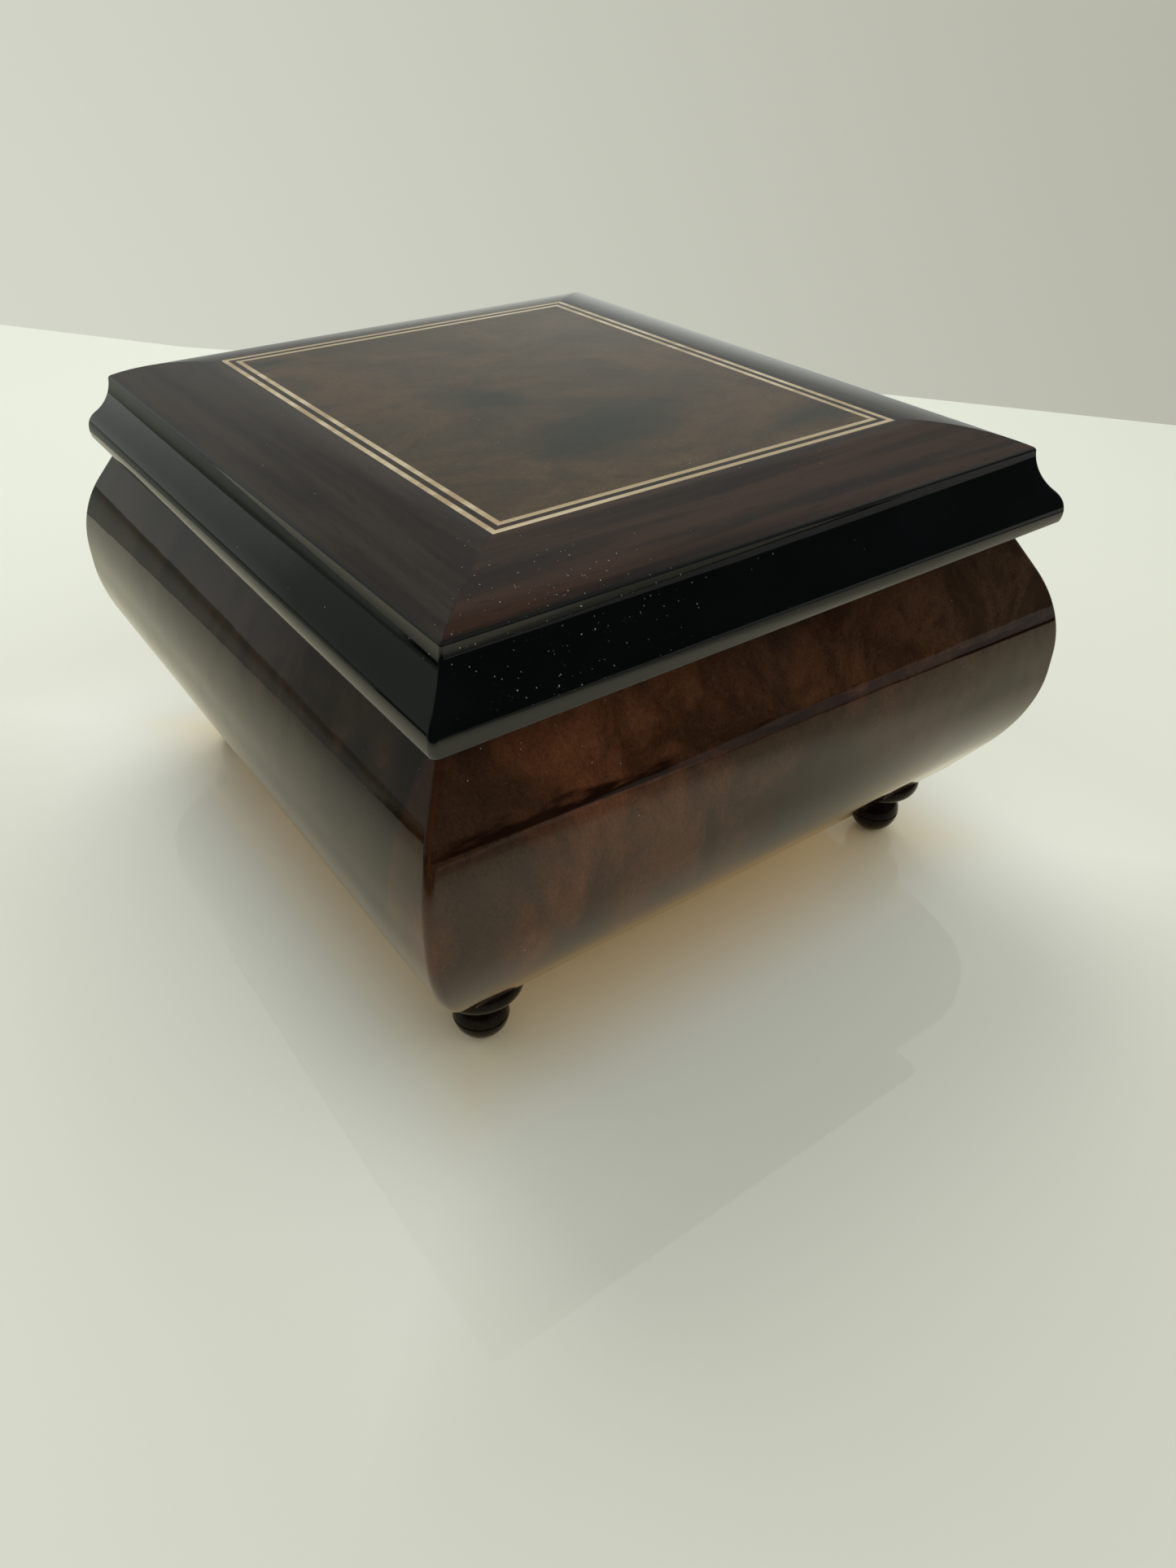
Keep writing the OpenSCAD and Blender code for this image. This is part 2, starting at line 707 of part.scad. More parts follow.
module back_side() {
    color("sienna") difference() {
        mirror([0, 1, 0]) front_plank();
        board_screw_holes();
        for (s = [-1, 1]) at_hinge(s) {
            hinge_recess();
            block([-hinge_l / 2 - slack, hinge_l / 2 + slack],
                [body_d / 2 - leaf_w - slack, far], [rim_z - leaf_t, far]);
            leaf_screw_pair() rod_z([0, 0], [-leaf_screw_l - leaf_t, lap], screw_r + slack);
        }
    }
}

module right_side() {
    color("saddlebrown") difference() {
        right_plank();
        board_screw_holes();
    }
}

module left_side() {
    color("saddlebrown") mirror([1, 0, 0]) difference() {
        right_plank();
        board_screw_holes();
    }
}

module bottom_board() {
    color("burlywood") difference() {
        intersection() {
            body_block();
            block([-far, far], [-far, far], [0, floor_z]);
        }
        for (x = [-foot_x, foot_x], y = [-foot_y, foot_y])
            rod_z([x, y], [0, floor_z + lap], tenon_r + slack);
        board_screw_holes();
        at_posts() screw_hole(post_screw_r, far);
        at_barrel() rod_z([0, 0], [-plate_z, 0], winder_r + arbor_hole_gap);
    }
}

// Countersunk screw, head upwards at z = 0
module screw(r, l) {
    difference() {
        union() {
            translate([0, 0, -r]) cylinder(h = r, r1 = r, r2 = 2 * r);
            translate([0, 0, -l]) cylinder(h = l - r + eps, r = r);
        }
        translate([-2 * r, -r / 6, -r / 2]) cube([4 * r, r / 3, r]);
    }
}

module screw_hole(r, l) {
    translate([0, 0, -r - slack]) cylinder(h = r + slack, r1 = r + slack / 2, r2 = 2 * r + slack);
    translate([0, 0, -l - slack]) cylinder(h = l + slack, r = r + slack / 2);
}

module at_board_screws() {
    for (p = board_screws) translate([p[0], p[1], foot_h]) mirror([0, 0, 1]) children();
}

module board_screw_holes() {
    at_board_screws() screw_hole(board_screw_r, board_screw_l);
}

module bottom_screws() {
    color("gold") at_board_screws() screw(board_screw_r, board_screw_l);
}

// Turned foot: a ball with a line round it, a neck, a rounded collar and a seat with a tenon
module foot() {
    ball_z = ball_r - ball_flat;
    collar_z = foot_h - collar_seat - collar_t;
    round_r = collar_t / 2;
    rotate_extrude() intersection() {
        union() {
            difference() {
                translate([0, ball_z]) circle(r = ball_r);
                translate([ball_r, ball_z]) circle(r = ball_line);
            }
            translate([0, ball_z]) square([neck_r, collar_z - ball_z + eps]);
            translate([collar_r - round_r, collar_z + round_r]) circle(r = round_r);
            polygon([[0, collar_z], [collar_r - round_r, collar_z],
                [collar_r - round_r, collar_z + collar_t], [seat_r, foot_h], [0, foot_h]]);
            translate([0, foot_h - eps]) square([tenon_r, bottom_t - slack + eps]);
        }
        square([far, foot_h + bottom_t]);
    }
}

module foot_front_left() {
    color("#2b1d16") translate([-foot_x, -foot_y, 0]) foot();
}

module foot_front_right() {
    color("#2b1d16") translate([foot_x, -foot_y, 0]) foot();
}

module foot_back_left() {
    color("#2b1d16") translate([-foot_x, foot_y, 0]) foot();
}

module foot_back_right() {
    color("#2b1d16") translate([foot_x, foot_y, 0]) foot();
}

// ---------------------------------------------------------------- lid

module on_lid() {
    translate([0, -lid_forward, rim_z]) children();
}

module lid_block() {
    intersection() {
        along_y(far) lid_section(lid_w);
        along_x(far) lid_section(lid_d);
    }
}

module crown_block() {
    intersection() {
        along_y(far) crown_section(lid_w);
        along_x(far) crown_section(lid_d);
    }
}

// The layer that holds border, stringing and panel
module veneer_layer(t) {
    difference() {
        crown_block();
        translate([0, 0, -t]) crown_block();
        block([-far, far], [-far, far], [-lap, lid_t - t - crown_h]);
    }
}

module inset(x, y) {
    square([lid_w - 2 * x, lid_d - 2 * y], center = true);
}

module lid_board() {
    color("#101310") difference() {
        on_lid() difference() {
            lid_block();
            intersection() {
                veneer_layer(veneer_t);
                linear_extrude(far) inset(lip_w, lip_w);
            }
        }
        for (s = [-1, 1]) at_hinge(s) {
            hinge_recess();
            block([-hinge_l / 2 - slack, hinge_l / 2 + slack],
                [body_d / 2 - leaf_w - slack, hinge_y], [rim_z - lap, rim_z + leaf_t]);
            leaf_screw_pair() rod_z([0, 0], [-lap, leaf_screw_l + leaf_t], screw_r + slack);
        }
    }
}

// Plan of one border strip: s is the side (-1 or 1), turned is 1 for left and right
module border_plan(s, turned) {
    o = [lid_w / 2 - lip_w, lid_d / 2 - lip_w];
    i = [lid_w / 2 - border_x, lid_d / 2 - border_y];
    if (turned == 1)
        polygon([[s * o[0], -o[1]], [s * o[0], o[1]], [s * i[0], i[1]], [s * i[0], -i[1]]]);
    else
        polygon([[-o[0], s * o[1]], [o[0], s * o[1]], [i[0], s * i[1]], [-i[0], s * i[1]]]);
}

module border(s, turned) {
    on_lid() intersection() {
        veneer_layer(veneer_t);
        linear_extrude(far) border_plan(s, turned);
    }
}

module border_front() {
    color("#4a2a1c") border(-1, 0);
}

module border_back() {
    color("#4a2a1c") border(1, 0);
}

module border_left() {
    color("#54311f") border(-1, 1);
}

module border_right() {
    color("#54311f") border(1, 1);
}

// A line of stringing that lies from a to b inside the border
module string_line(a, b) {
    on_lid() translate([0, 0, inlay_z]) linear_extrude(veneer_t) difference() {
        inset(border_x + a, border_y + a);
        inset(border_x + b, border_y + b);
    }
}

module outer_light_string() {
    color("wheat") string_line(0, light_w);
}

module dark_string() {
    color("#1d120d") string_line(light_w, light_w + dark_w);
}

module inner_light_string() {
    color("wheat") string_line(light_w + dark_w, lines_w);
}

module burl_panel() {
    color("#6b4a2e") on_lid() translate([0, 0, inlay_z]) linear_extrude(veneer_t)
        inset(border_x + lines_w, border_y + lines_w);
}

module lid_pad() {
    x = inner_w / 2 - pad_gap;
    y = inner_d / 2 - pad_gap;
    color("#6d1622") block([-x, x], [-y, y], [rim_z - pad_t, rim_z]);
}

// ---------------------------------------------------------------- hinges

module hinge_recess() {
    rod_x([-recess_l / 2, recess_l / 2], [hinge_y, rim_z], recess_r);
}

module leaf_screw_pair() {
    for (x = [-leaf_screw_x, leaf_screw_x]) translate([x, leaf_screw_y, rim_z]) children();
}

// One hinge leaf; up is 1 for the lid's leaf and -1 for the body's
module leaf(up) {
    y = [body_d / 2 - leaf_w, hinge_y];
    z = up == 1 ? [rim_z, rim_z + leaf_t] : [rim_z - leaf_t, rim_z];
    half = hinge_l / 2;
    mid = mid_knuckle / 2;
    spans = up == 1 ? [[-mid, mid]] : [[-half, knuckle_l - half], [half - knuckle_l, half]];
    difference() {
        union() {
            block([-half, half], [y[0], hinge_y - knuckle_r - side_gap], z);
            for (s = spans) {
                block(s, y, z);
                rod_x(s, [hinge_y, rim_z], knuckle_r);
            }
        }
        rod_x([-hinge_l, hinge_l], [hinge_y, rim_z], pin_r + (up == 1 ? run : run / 2));
        leaf_screw_pair() rotate([up == 1 ? 180 : 0, 0, 0]) screw_hole(screw_r, leaf_screw_l);
    }
}

module hinge_pin() {
    rod_x([-hinge_l / 2, hinge_l / 2], [hinge_y, rim_z], pin_r);
    for (s = [[-hinge_l / 2 - pin_head_t, -hinge_l / 2], [hinge_l / 2, hinge_l / 2 + pin_head_t]])
        rod_x(s, [hinge_y, rim_z], pin_head_r);
}

module at_hinge(s) {
    translate([s * hinge_x, 0, 0]) children();
}

module hinge_left_body_leaf() {
    color("#b8923c") at_hinge(-1) leaf(-1);
}

module hinge_left_lid_leaf() {
    color("#b8923c") at_hinge(-1) leaf(1);
}

module hinge_left_pin() {
    color("#d8b45c") at_hinge(-1) hinge_pin();
}

module hinge_right_body_leaf() {
    color("#b8923c") at_hinge(1) leaf(-1);
}

module hinge_right_lid_leaf() {
    color("#b8923c") at_hinge(1) leaf(1);
}

module hinge_right_pin() {
    color("#d8b45c") at_hinge(1) hinge_pin();
}

module hinge_body_screws() {
    color("#d8b45c") for (s = [-1, 1]) at_hinge(s) leaf_screw_pair() screw(screw_r, leaf_screw_l);
}

module hinge_lid_screws() {
    color("#d8b45c") for (s = [-1, 1]) at_hinge(s) leaf_screw_pair()
        rotate([180, 0, 0]) screw(screw_r, leaf_screw_l);
}

// ---------------------------------------------------------------- interior

module partition() {
    color("tan") block([-inner_w / 2, inner_w / 2], [partition_y, partition_back],
        [floor_z, cover_z]);
}

module compartment_lining() {
    x = inner_w / 2 - slack;
    y = [-inner_d / 2 + slack, partition_y - slack];
    color("#7a1a26") difference() {
        block([-x, x], y, [floor_z, cover_z]);
        block([-x + lining_t, x - lining_t], [y[0] + lining_t, y[1] - lining_t],
            [floor_z + lining_floor, far]);
    }
}

module cover_ledges() {
    z = [cover_z - ledge_h, cover_z];
    x = inner_w / 2;
    y = [partition_back, inner_d / 2];
    color("tan") {
        block([-x, -x + ledge_w], y, z);
        block([x - ledge_w, x], y, z);
        block([-x + ledge_w, x - ledge_w], [y[1] - ledge_w, y[1]], z);
    }
}

module movement_cover() {
    x = inner_w / 2 - slack;
    color([0.8, 0.9, 0.95, 0.4]) difference() {
        block([-x, x], [partition_y, inner_d / 2 - slack], [cover_z, cover_z + cover_t]);
        rod_z([-inner_w / 2 + finger_in, partition_back + finger_in], [0, far], finger_r);
        in_movement() for (y = [0, wire_travel])
            rod_z([wire_x, y - lever_front], [0, far], wire_hole_r);
    }
}

// ---------------------------------------------------------------- gears

// A wheel with n straight-flanked teeth of module m, one tooth on the X axis
module gear(n, m, form) {
    pr = n * m / 2;
    root = pr - (form[1] + 0.3) * m;
    tip = pr + form[0] * m;
    circle(r = pr - form[1] * m);
    for (i = [0:n - 1]) rotate(i * 360 / n)
        polygon([[root, -form[4] * m], [pr, -form[3] * m], [tip, -form[2] * m],
            [tip, form[2] * m], [pr, form[3] * m], [root, form[4] * m]]);
}

// Places a flat outline across the X axis, from x[0] to x[1]
module across_x(x, at) {
    translate([x[0], at[0], at[1]]) rotate([90, 0, 90]) linear_extrude(x[1] - x[0]) children();
}

module light_holes(h) {
    for (i = [0:h[0] - 1]) rotate(i * 360 / h[0]) translate([h[1], 0]) circle(r = h[2]);
}

// ---------------------------------------------------------------- movement

module bedplate() {
    r = plate_round;
    x = [plate_x[0] + r, plate_x[1] - r];
    y = [plate_y[0] + r, plate_y[1] - r];
    color("#c9a24b") in_movement() difference() {
        union() {
            block(plate_x, y, [-plate_t, 0]);
            block(x, plate_y, [-plate_t, 0]);
            for (a = x, b = y) rod_z([a, b], [-plate_t, 0], r);
            for (p = posts) rod_z(p, [-plate_t - post_h, -plate_t + eps], post_r);
        }
        rod_z([-barrel_x, 0], [-far, far], winder_r + run);
        for (p = posts) rod_z(p, [-far, far], post_screw_r + slack);
        small_screws(true);
        rod_z(click_pivot, [-far, far], screw_r);
        rod_z(blade_post, [-far, far], screw_r);
    }
}

module at_posts() {
    in_movement() for (p = posts) translate([p[0], p[1], foot_h - plate_z]) mirror([0, 0, 1]) children();
}

module bedplate_screws() {
    color("silver") at_posts() screw(post_screw_r, plate_z - foot_h);
}

module small_screws(hole = false) {
    for (p = screw_places) translate([p[0], p[1], p[2]]) {
        translate([0, 0, -p[3]]) cylinder(h = p[3] + eps, r = screw_r + (hole ? slack / 2 : 0));
        if (!hole) difference() {
            cylinder(h = head_t, r = head_r);
            translate([-head_r, -slot_w / 2, head_t / 2]) cube([2 * head_r, slot_w, head_t]);
        }
    }
}

module movement_screws() {
    color("#9fb0c0") in_movement() small_screws();
}

module comb_base() {
    color("#8f8f8f") in_movement() difference() {
        block(comb_x, [-comb_back, -comb_back + anvil_d], [0, comb_z[0]]);
        small_screws(true);
    }
}

function tooth_l(i) = tooth_long + (tooth_short - tooth_long) * i / (note_n - 1);

// Cuts the comb between x[0] and x[1] to the length l from the teeth's tips
module comb_cut(x, l) {
    block(x, [-tip_y - l, 0], [0, far]);
}

module comb() {
    color("#c8ccd0") in_movement() difference() {
        block(comb_x, [-comb_back, -tip_y], comb_z);
        for (i = [0:note_n]) {
            x = (i - 0.5) * note_pitch;
            comb_cut([x - slit_w / 2, x + slit_w / 2], tooth_l(min(i, note_n - 1)));
        }
        comb_cut([-far, -note_pitch / 2], tooth_long);
        comb_cut([tracks_l + note_pitch / 2, far], tooth_short);
        small_screws(true);
    }
}

module comb_weights() {
    y = -tip_y - weight_in;
    color("#5b5f66") in_movement() for (i = [0:weight_n - 1]) {
        x = i * note_pitch;
        h = weight_h - weight_step * i;
        block([x - weight_w / 2, x + weight_w / 2], [y - weight_l, y], [comb_z[0] - h, comb_z[0]]);
    }
}

// Bore of the cylinder's arbor, with a clearance c
module arbor_bore(c) {
    rod_x([-far, far], [0, axis_h], arbor_r + c);
}

// Angle of pin j on track i: a made-up tune
function pin_angle(i, j) = 67 * i + j * 360 / pins_per_track + (i * i * 13 + j * 29) % 41;

module pinned_cylinder() {
    ends = [[cylinder_x[0] - lap, cylinder_x[0] + end_recess],
        [cylinder_x[1] - end_recess, cylinder_x[1] + lap]];
    color("#d9b356") in_movement() difference() {
        union() {
            rod_x(cylinder_x, [0, axis_h], cylinder_r);
            for (i = [0:note_n - 1], j = [0:pins_per_track - 1])
                translate([i * note_pitch, 0, axis_h]) rotate([pin_angle(i, j), 0, 0])
                    cylinder(h = cylinder_r + pin_out, r = note_pin_r, $fn = 16);
        }
        for (x = ends) difference() {
            rod_x(x, [0, axis_h], cylinder_r - end_rim);
            rod_x(x, [0, axis_h], end_boss_r);
        }
        arbor_bore(0);
    }
}

module cylinder_arbor() {
    color("#b0b6bc") in_movement()
        rod_x([drive_x[0] - arbor_out, frame_a[1] + arbor_out], [0, axis_h], arbor_r);
}

module cylinder_pinion() {
    color("#c9a24b") in_movement() difference() {
        union() {
            across_x(drive_x, [0, axis_h]) rotate(-90) gear(drive_teeth, drive_m, pinion_form);
            rod_x([drive_x[1] - eps, drive_x[1] + hub_out], [0, axis_h], arbor_r + hub_w);
        }
        arbor_bore(0);
    }
}

module cylinder_wheel() {
    color("#d0a548") in_movement() difference() {
        across_x(wheel_x, [0, axis_h]) rotate(-governor_dip) difference() {
            gear(wheel_teeth, wheel_m, wheel_form);
            light_holes(wheel_holes);
        }
        arbor_bore(0);
    }
}

module cylinder_bracket() {
    color("#b9bec4") in_movement() difference() {
        union() {
            block(bearing_x, [-bracket_w, bracket_w], [0, bracket_h]);
            block([bearing_x[0], bearing_x[0] + bracket_foot], [-bracket_w, bracket_w], [0, web_t]);
        }
        arbor_bore(run);
        small_screws(true);
    }
}

module governor_frame() {
    x = [frame_a[0], frame_b[1]];
    color("#b9bec4") in_movement() difference() {
        union() {
            block(frame_a, frame_y, [0, frame_h]);
            block(frame_b, frame_y, [0, frame_h]);
            block(x, [frame_y[0], fly_y + arm_over], [0, web_t]);
            block(x, [arm_y, fly_y + arm_over], [frame_h - arm_t, frame_h]);
        }
        rod_x([-far, fly_x], [0, axis_h], arbor_r + run);
        rod_x([-far, far], [gov_y, gov_z], arbor_r + run);
        rod_z([fly_x, fly_y], [-far, far], fly_pivot_r + run);
        rod_x([fly_x, far], lever_pivot, screw_r);
        small_screws(true);
    }
}

// Arbor with the pinion cut on it
module governor_arbor() {
    x = [wheel_x[0] - pinion_side, wheel_x[1] + pinion_side];
    color("#b0b6bc") in_movement() {
        rod_x([x[0] - arbor_out, frame_b[1] + arbor_out], [gov_y, gov_z], arbor_r);
        across_x(x, [gov_y, gov_z]) rotate(180 - governor_dip + 180 / pinion_teeth)
            gear(pinion_teeth, wheel_m, pinion_form);
    }
}

module governor_wheel() {
    x = [fly_x - worm_wheel_t / 2, fly_x + worm_wheel_t / 2];
    color("#e8e4d8") in_movement() difference() {
        union() {
            across_x(x, [gov_y, gov_z]) difference() {
                gear(worm_teeth, wheel_m, worm_wheel_form);
                light_holes(worm_wheel_holes);
            }
            rod_x([x[0] - hub_out, x[1] + hub_out], [gov_y, gov_z], arbor_r + hub_w);
        }
        rod_x([-far, far], [gov_y, gov_z], arbor_r);
    }
}

module at_fly() {
    in_movement() translate([fly_x, fly_y, 0]) children();
}

// Shaft of the fly, with a one-start worm
module fly_shaft() {
    l = worm_turns * worm_lead;
    color("#b0b6bc") at_fly() {
        rod_z([0, 0], [side_gap, frame_h], fly_pivot_r);
        translate([0, 0, gov_z - l / 2]) linear_extrude(l, twist = -360 * worm_turns,
            slices = worm_fn * worm_turns, $fn = worm_fn) translate([0, worm_e])
            circle(r = worm_r, $fn = worm_fn);
    }
}

module fly_wings() {
    color("#e8e4d8") at_fly() difference() {
        union() {
            rod_z([0, 0], wing_z, fly_hub_r);
            for (s = [-1, 1]) rotate(s * 90)
                block([fly_pivot_r, wing_r], [-wing_t / 2, wing_t / 2], [wing_z[0] + eps, wing_z[1] - eps]);
        }
        rod_z([0, 0], [0, far], fly_pivot_r);
    }
}

// ---------------------------------------------------------------- spring and winding

module at_barrel() {
    in_movement() translate([-barrel_x, 0, 0]) children();
}

// One tooth on the barrel's rim, seen along its radius
module crown_tooth() {
    m = drive_m;
    polygon([[-crown_form[2] * m, -slack], [-crown_form[3] * m, crown_form[0] * m],
        [-crown_form[4] * m, crown_form[1] * m], [crown_form[4] * m, crown_form[1] * m],
        [crown_form[3] * m, crown_form[0] * m], [crown_form[2] * m, -slack]]);
}

module barrel_drum() {
    color("#c9a24b") at_barrel() {
        difference() {
            rod_z([0, 0], [barrel_gap, crown_root_z], barrel_r);
            rod_z([0, 0], [0, crown_root_z - barrel_top_t], barrel_r - barrel_wall);
            rod_z([0, 0], [0, far], winder_r + run);
        }
        for (i = [0:crown_teeth - 1]) rotate((i + 0.5) * 360 / crown_teeth)
            translate([crown_x - crown_w / 2, 0, crown_root_z]) rotate([90, 0, 90])
                linear_extrude(crown_w) crown_tooth();
    }
}

module barrel_cover() {
    color("#d8b968") at_barrel() difference() {
        rod_z([0, 0], [barrel_gap, barrel_gap + barrel_cover_t], barrel_r - barrel_wall);
        rod_z([0, 0], [0, far], winder_r + run);
    }
}

// Point of the mainspring at angle a, off outside its inner face
function spiral(a, off) =
    let (r = spring_in + (spring_out - spring_in) * a / (360 * spring_turns) + off)
    [r * cos(a), r * sin(a)];

module mainspring() {
    end = 360 * spring_turns;
    inner = [for (a = [0:spring_step:end]) spiral(a, 0)];
    outer = [for (a = [end:-spring_step:0]) spiral(a, spring_t)];
    color("#4b5a6a") at_barrel() translate([0, 0, spring_z[0]])
        linear_extrude(spring_z[1] - spring_z[0]) polygon(concat(inner, outer));
}

module winding_arbor() {
    z = crown_root_z + side_gap;
    color("#a7adb3") at_barrel() {
        rod_z([0, 0], [key_socket_z - plate_z, z + eps], winder_r);
        rod_z([0, 0], [z, z + winder_collar_t], winder_r + winder_collar);
    }
}

module ratchet_wheel() {
    step = 360 / ratchet_teeth;
    teeth = [for (i = [0:ratchet_teeth - 1], k = [0, 1])
        let (a = (i + k * ratchet_lean) * step, r = ratchet_r - (1 - k) * ratchet_depth)
        [r * cos(a), r * sin(a)]];
    color("#9098a0") at_barrel() translate([0, 0, ratchet_z[0]]) linear_extrude(ratchet_t)
        difference() {
            polygon(teeth);
            circle(r = winder_r);
        }
}

module click() {
    w = click_w / 2;
    tip = click_l + lap;
    color("#b0b6bc") in_movement() translate([0, 0, ratchet_z[0]]) linear_extrude(ratchet_t)
        difference() {
            translate(click_pivot) {
                circle(r = click_eye_r);
                rotate(atan2(click_dir[1], click_dir[0]))
                    polygon([[0, -w], [click_l - click_nose, -w], [click_l, -click_flat],
                        [tip, 0], [tip, w], [0, w]]);
            }
            translate(click_pivot) circle(r = screw_r + run);
            translate([-barrel_x, 0]) circle(r = ratchet_r + side_gap);
        }
}

module click_stud() {
    head_z = ratchet_z[1] + slack;
    color("#9fb0c0") in_movement() {
        rod_z(click_pivot, [-plate_t, head_z + eps], screw_r);
        rod_z(click_pivot, [head_z, head_z + stud_head_t], screw_r + stud_head_out);
    }
}

// Blade spring beside the click, on its post
module click_spring() {
    to = blade_end - blade_post;
    color("#c8ccd0") in_movement() {
        rod_z(blade_post, [-plate_t, eps], screw_r);
        rod_z(blade_post, [0, ratchet_z[1]], blade_post_r);
        translate([blade_post[0], blade_post[1], ratchet_z[0]]) rotate(atan2(to[1], to[0]))
            block([0, blade_l], [-blade_t / 2, blade_t / 2], [0, ratchet_t - eps]);
    }
}

module winding_key() {
    z = key_z + key_lobe_r;
    color("#c9a24b") at_barrel() translate([0, 0, -plate_z]) difference() {
        union() {
            rod_z([0, 0], key_hub, key_hub_r);
            along_y(key_t) difference() {
                union() {
                    for (s = [-1, 1]) translate([s * key_lobe_x, z]) circle(r = key_lobe_r);
                    translate([-key_lobe_x, z - key_web / 2]) square([2 * key_lobe_x, key_web]);
                    translate([-key_hub_r, z]) square([2 * key_hub_r, key_hub[0] - z + lap]);
                }
                for (s = [-1, 1]) translate([s * key_lobe_x, z]) circle(r = key_lobe_r / 2);
            }
        }
        rod_z([0, 0], [key_socket_z, far], winder_r);
    }
}

// ---------------------------------------------------------------- stop lever

module stop_lever() {
    p = lever_pivot;
    y = [-lever_front - lever_w / 2, fly_y + lever_over];
    color("#c9a24b") in_movement() {
        difference() {
            union() {
                block(lever_x, y, [p[1] - lever_w / 2, p[1] + lever_w / 2]);
                rod_x(lever_x, p, lever_eye_r);
            }
            rod_x([-far, far], p, lever_stud_r + run);
        }
        rod_z([wire_x, -lever_front], [p[1], lever_top], lever_wire_r);
    }
}

module stop_lever_stud() {
    p = lever_pivot;
    color("#9fb0c0") in_movement() {
        rod_x([frame_b[0], frame_b[1] + eps], p, screw_r);
        rod_x([frame_b[1], lever_x[0] - slack], p, stud_head_r);
        rod_x([lever_x[0] - slack - eps, lever_x[1] + slack + eps], p, lever_stud_r);
        rod_x([lever_x[1] + slack, lever_x[1] + slack + stud_head_t], p, stud_head_r);
    }
}

// ---------------------------------------------------------------- nodes

front_side();
back_side();
left_side();
right_side();
bottom_board();
bottom_screws();
foot_front_left();
foot_front_right();
foot_back_left();
foot_back_right();
lid_board();
border_front();
border_back();
border_left();
border_right();
outer_light_string();
dark_string();
inner_light_string();
burl_panel();
lid_pad();
hinge_left_body_leaf();
hinge_left_lid_leaf();
hinge_left_pin();
hinge_right_body_leaf();
hinge_right_lid_leaf();
hinge_right_pin();
hinge_body_screws();
hinge_lid_screws();
partition();
compartment_lining();
cover_ledges();
movement_cover();
bedplate();
bedplate_screws();
comb_base();
comb();
comb_weights();
movement_screws();
pinned_cylinder();
cylinder_arbor();
cylinder_pinion();
cylinder_wheel();
cylinder_bracket();
governor_frame();
governor_arbor();
governor_wheel();
fly_shaft();
fly_wings();
barrel_drum();
barrel_cover();
mainspring();
winding_arbor();
ratchet_wheel();
click();
click_stud();
click_spring();
winding_key();
stop_lever();
stop_lever_stud();
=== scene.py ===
# %% [markdown]
# # A small cylinder music box, dressed in Blender
# The box is a bombe case of walnut burl on four turned feet. Its lid has a black moulding, a
# border of straight-grained veneer, a line of stringing and a burl panel. Inside are a velvet
# tray, a clear cover and an 18-note movement. The measured solids come from the imported model,
# which is the frame that every piece here is fitted to. We load it first.

# %% The imported model
import math
import random
import bpy
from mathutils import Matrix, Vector


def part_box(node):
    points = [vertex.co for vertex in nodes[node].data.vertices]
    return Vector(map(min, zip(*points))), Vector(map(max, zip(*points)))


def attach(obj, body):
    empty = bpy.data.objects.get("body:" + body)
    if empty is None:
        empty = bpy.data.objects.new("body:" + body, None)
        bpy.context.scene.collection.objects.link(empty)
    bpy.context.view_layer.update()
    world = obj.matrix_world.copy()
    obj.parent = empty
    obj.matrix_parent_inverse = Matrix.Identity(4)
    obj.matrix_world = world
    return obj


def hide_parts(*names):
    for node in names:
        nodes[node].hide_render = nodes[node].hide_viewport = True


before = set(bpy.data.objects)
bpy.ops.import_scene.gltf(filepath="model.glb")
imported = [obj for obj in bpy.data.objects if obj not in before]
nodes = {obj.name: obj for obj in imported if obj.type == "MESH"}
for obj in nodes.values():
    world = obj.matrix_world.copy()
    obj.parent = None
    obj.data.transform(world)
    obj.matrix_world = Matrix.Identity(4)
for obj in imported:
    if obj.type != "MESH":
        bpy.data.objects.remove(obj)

bpy.context.view_layer.update()
MM = 0.001

# %% [markdown]
# ## The camera
# A hand-held look down over one corner: the front and the left side show, and most of the lid.
# The camera needs a place, a direction and a lens. A direction is easier to reason about than
# three angles, so Blender's to_track_quat turns it into a rotation that keeps the top upright.

# %% Camera
eye = bpy.data.cameras.new("corner_view")
eye.lens = 25.62
eye.sensor_width = 36.0
eye.clip_start = 0.005
camera = bpy.data.objects.new("corner_view", eye)
camera.location = (-0.10284, -0.16143, 0.13960)
looking = Vector((0.4687, 0.6532, -0.5947))
camera.rotation_mode = "QUATERNION"
camera.rotation_quaternion = looking.to_track_quat("-Z", "Y")
bpy.context.scene.collection.objects.link(camera)
bpy.context.scene.camera = camera
print("camera at", tuple(round(v, 4) for v in camera.location), "lens", eye.lens)

# %% [markdown]
# ## Helpers for nodes
# Every finish below is a small node tree. Writing node.inputs[...] = ... by hand is long, so
# add() makes a node and connects or sets its inputs by name, or by number as _0 and _1 where
# several inputs share a name. blend_colour() mixes two colours, sums() does arithmetic, spread()
# is a smooth step from one level to another, noise() is a cloudy pattern, and along() tells how
# far a vector points in one direction.

# %% Node helpers
def give(tree, socket, value):
    if isinstance(value, bpy.types.NodeSocket):
        tree.links.new(value, socket)
    else:
        socket.default_value = value


def add(tree, kind, settings=None, **inputs):
    node = tree.nodes.new("ShaderNode" + kind)
    for name, value in (settings or {}).items():
        setattr(node, name, value)
    for name, value in inputs.items():
        key = int(name[1:]) if name[0] == "_" else name.replace("_", " ")
        give(tree, node.inputs[key], value)
    return node


def blend_colour(tree, share, first, second, how="MIX"):
    node = add(tree, "Mix", dict(data_type="RGBA", blend_type=how), _0=share, _6=first, _7=second)
    return node.outputs[2]


def sums(tree, how, first, second=0.0, third=0.0):
    return add(tree, "Math", dict(operation=how), _0=first, _1=second, _2=third).outputs[0]


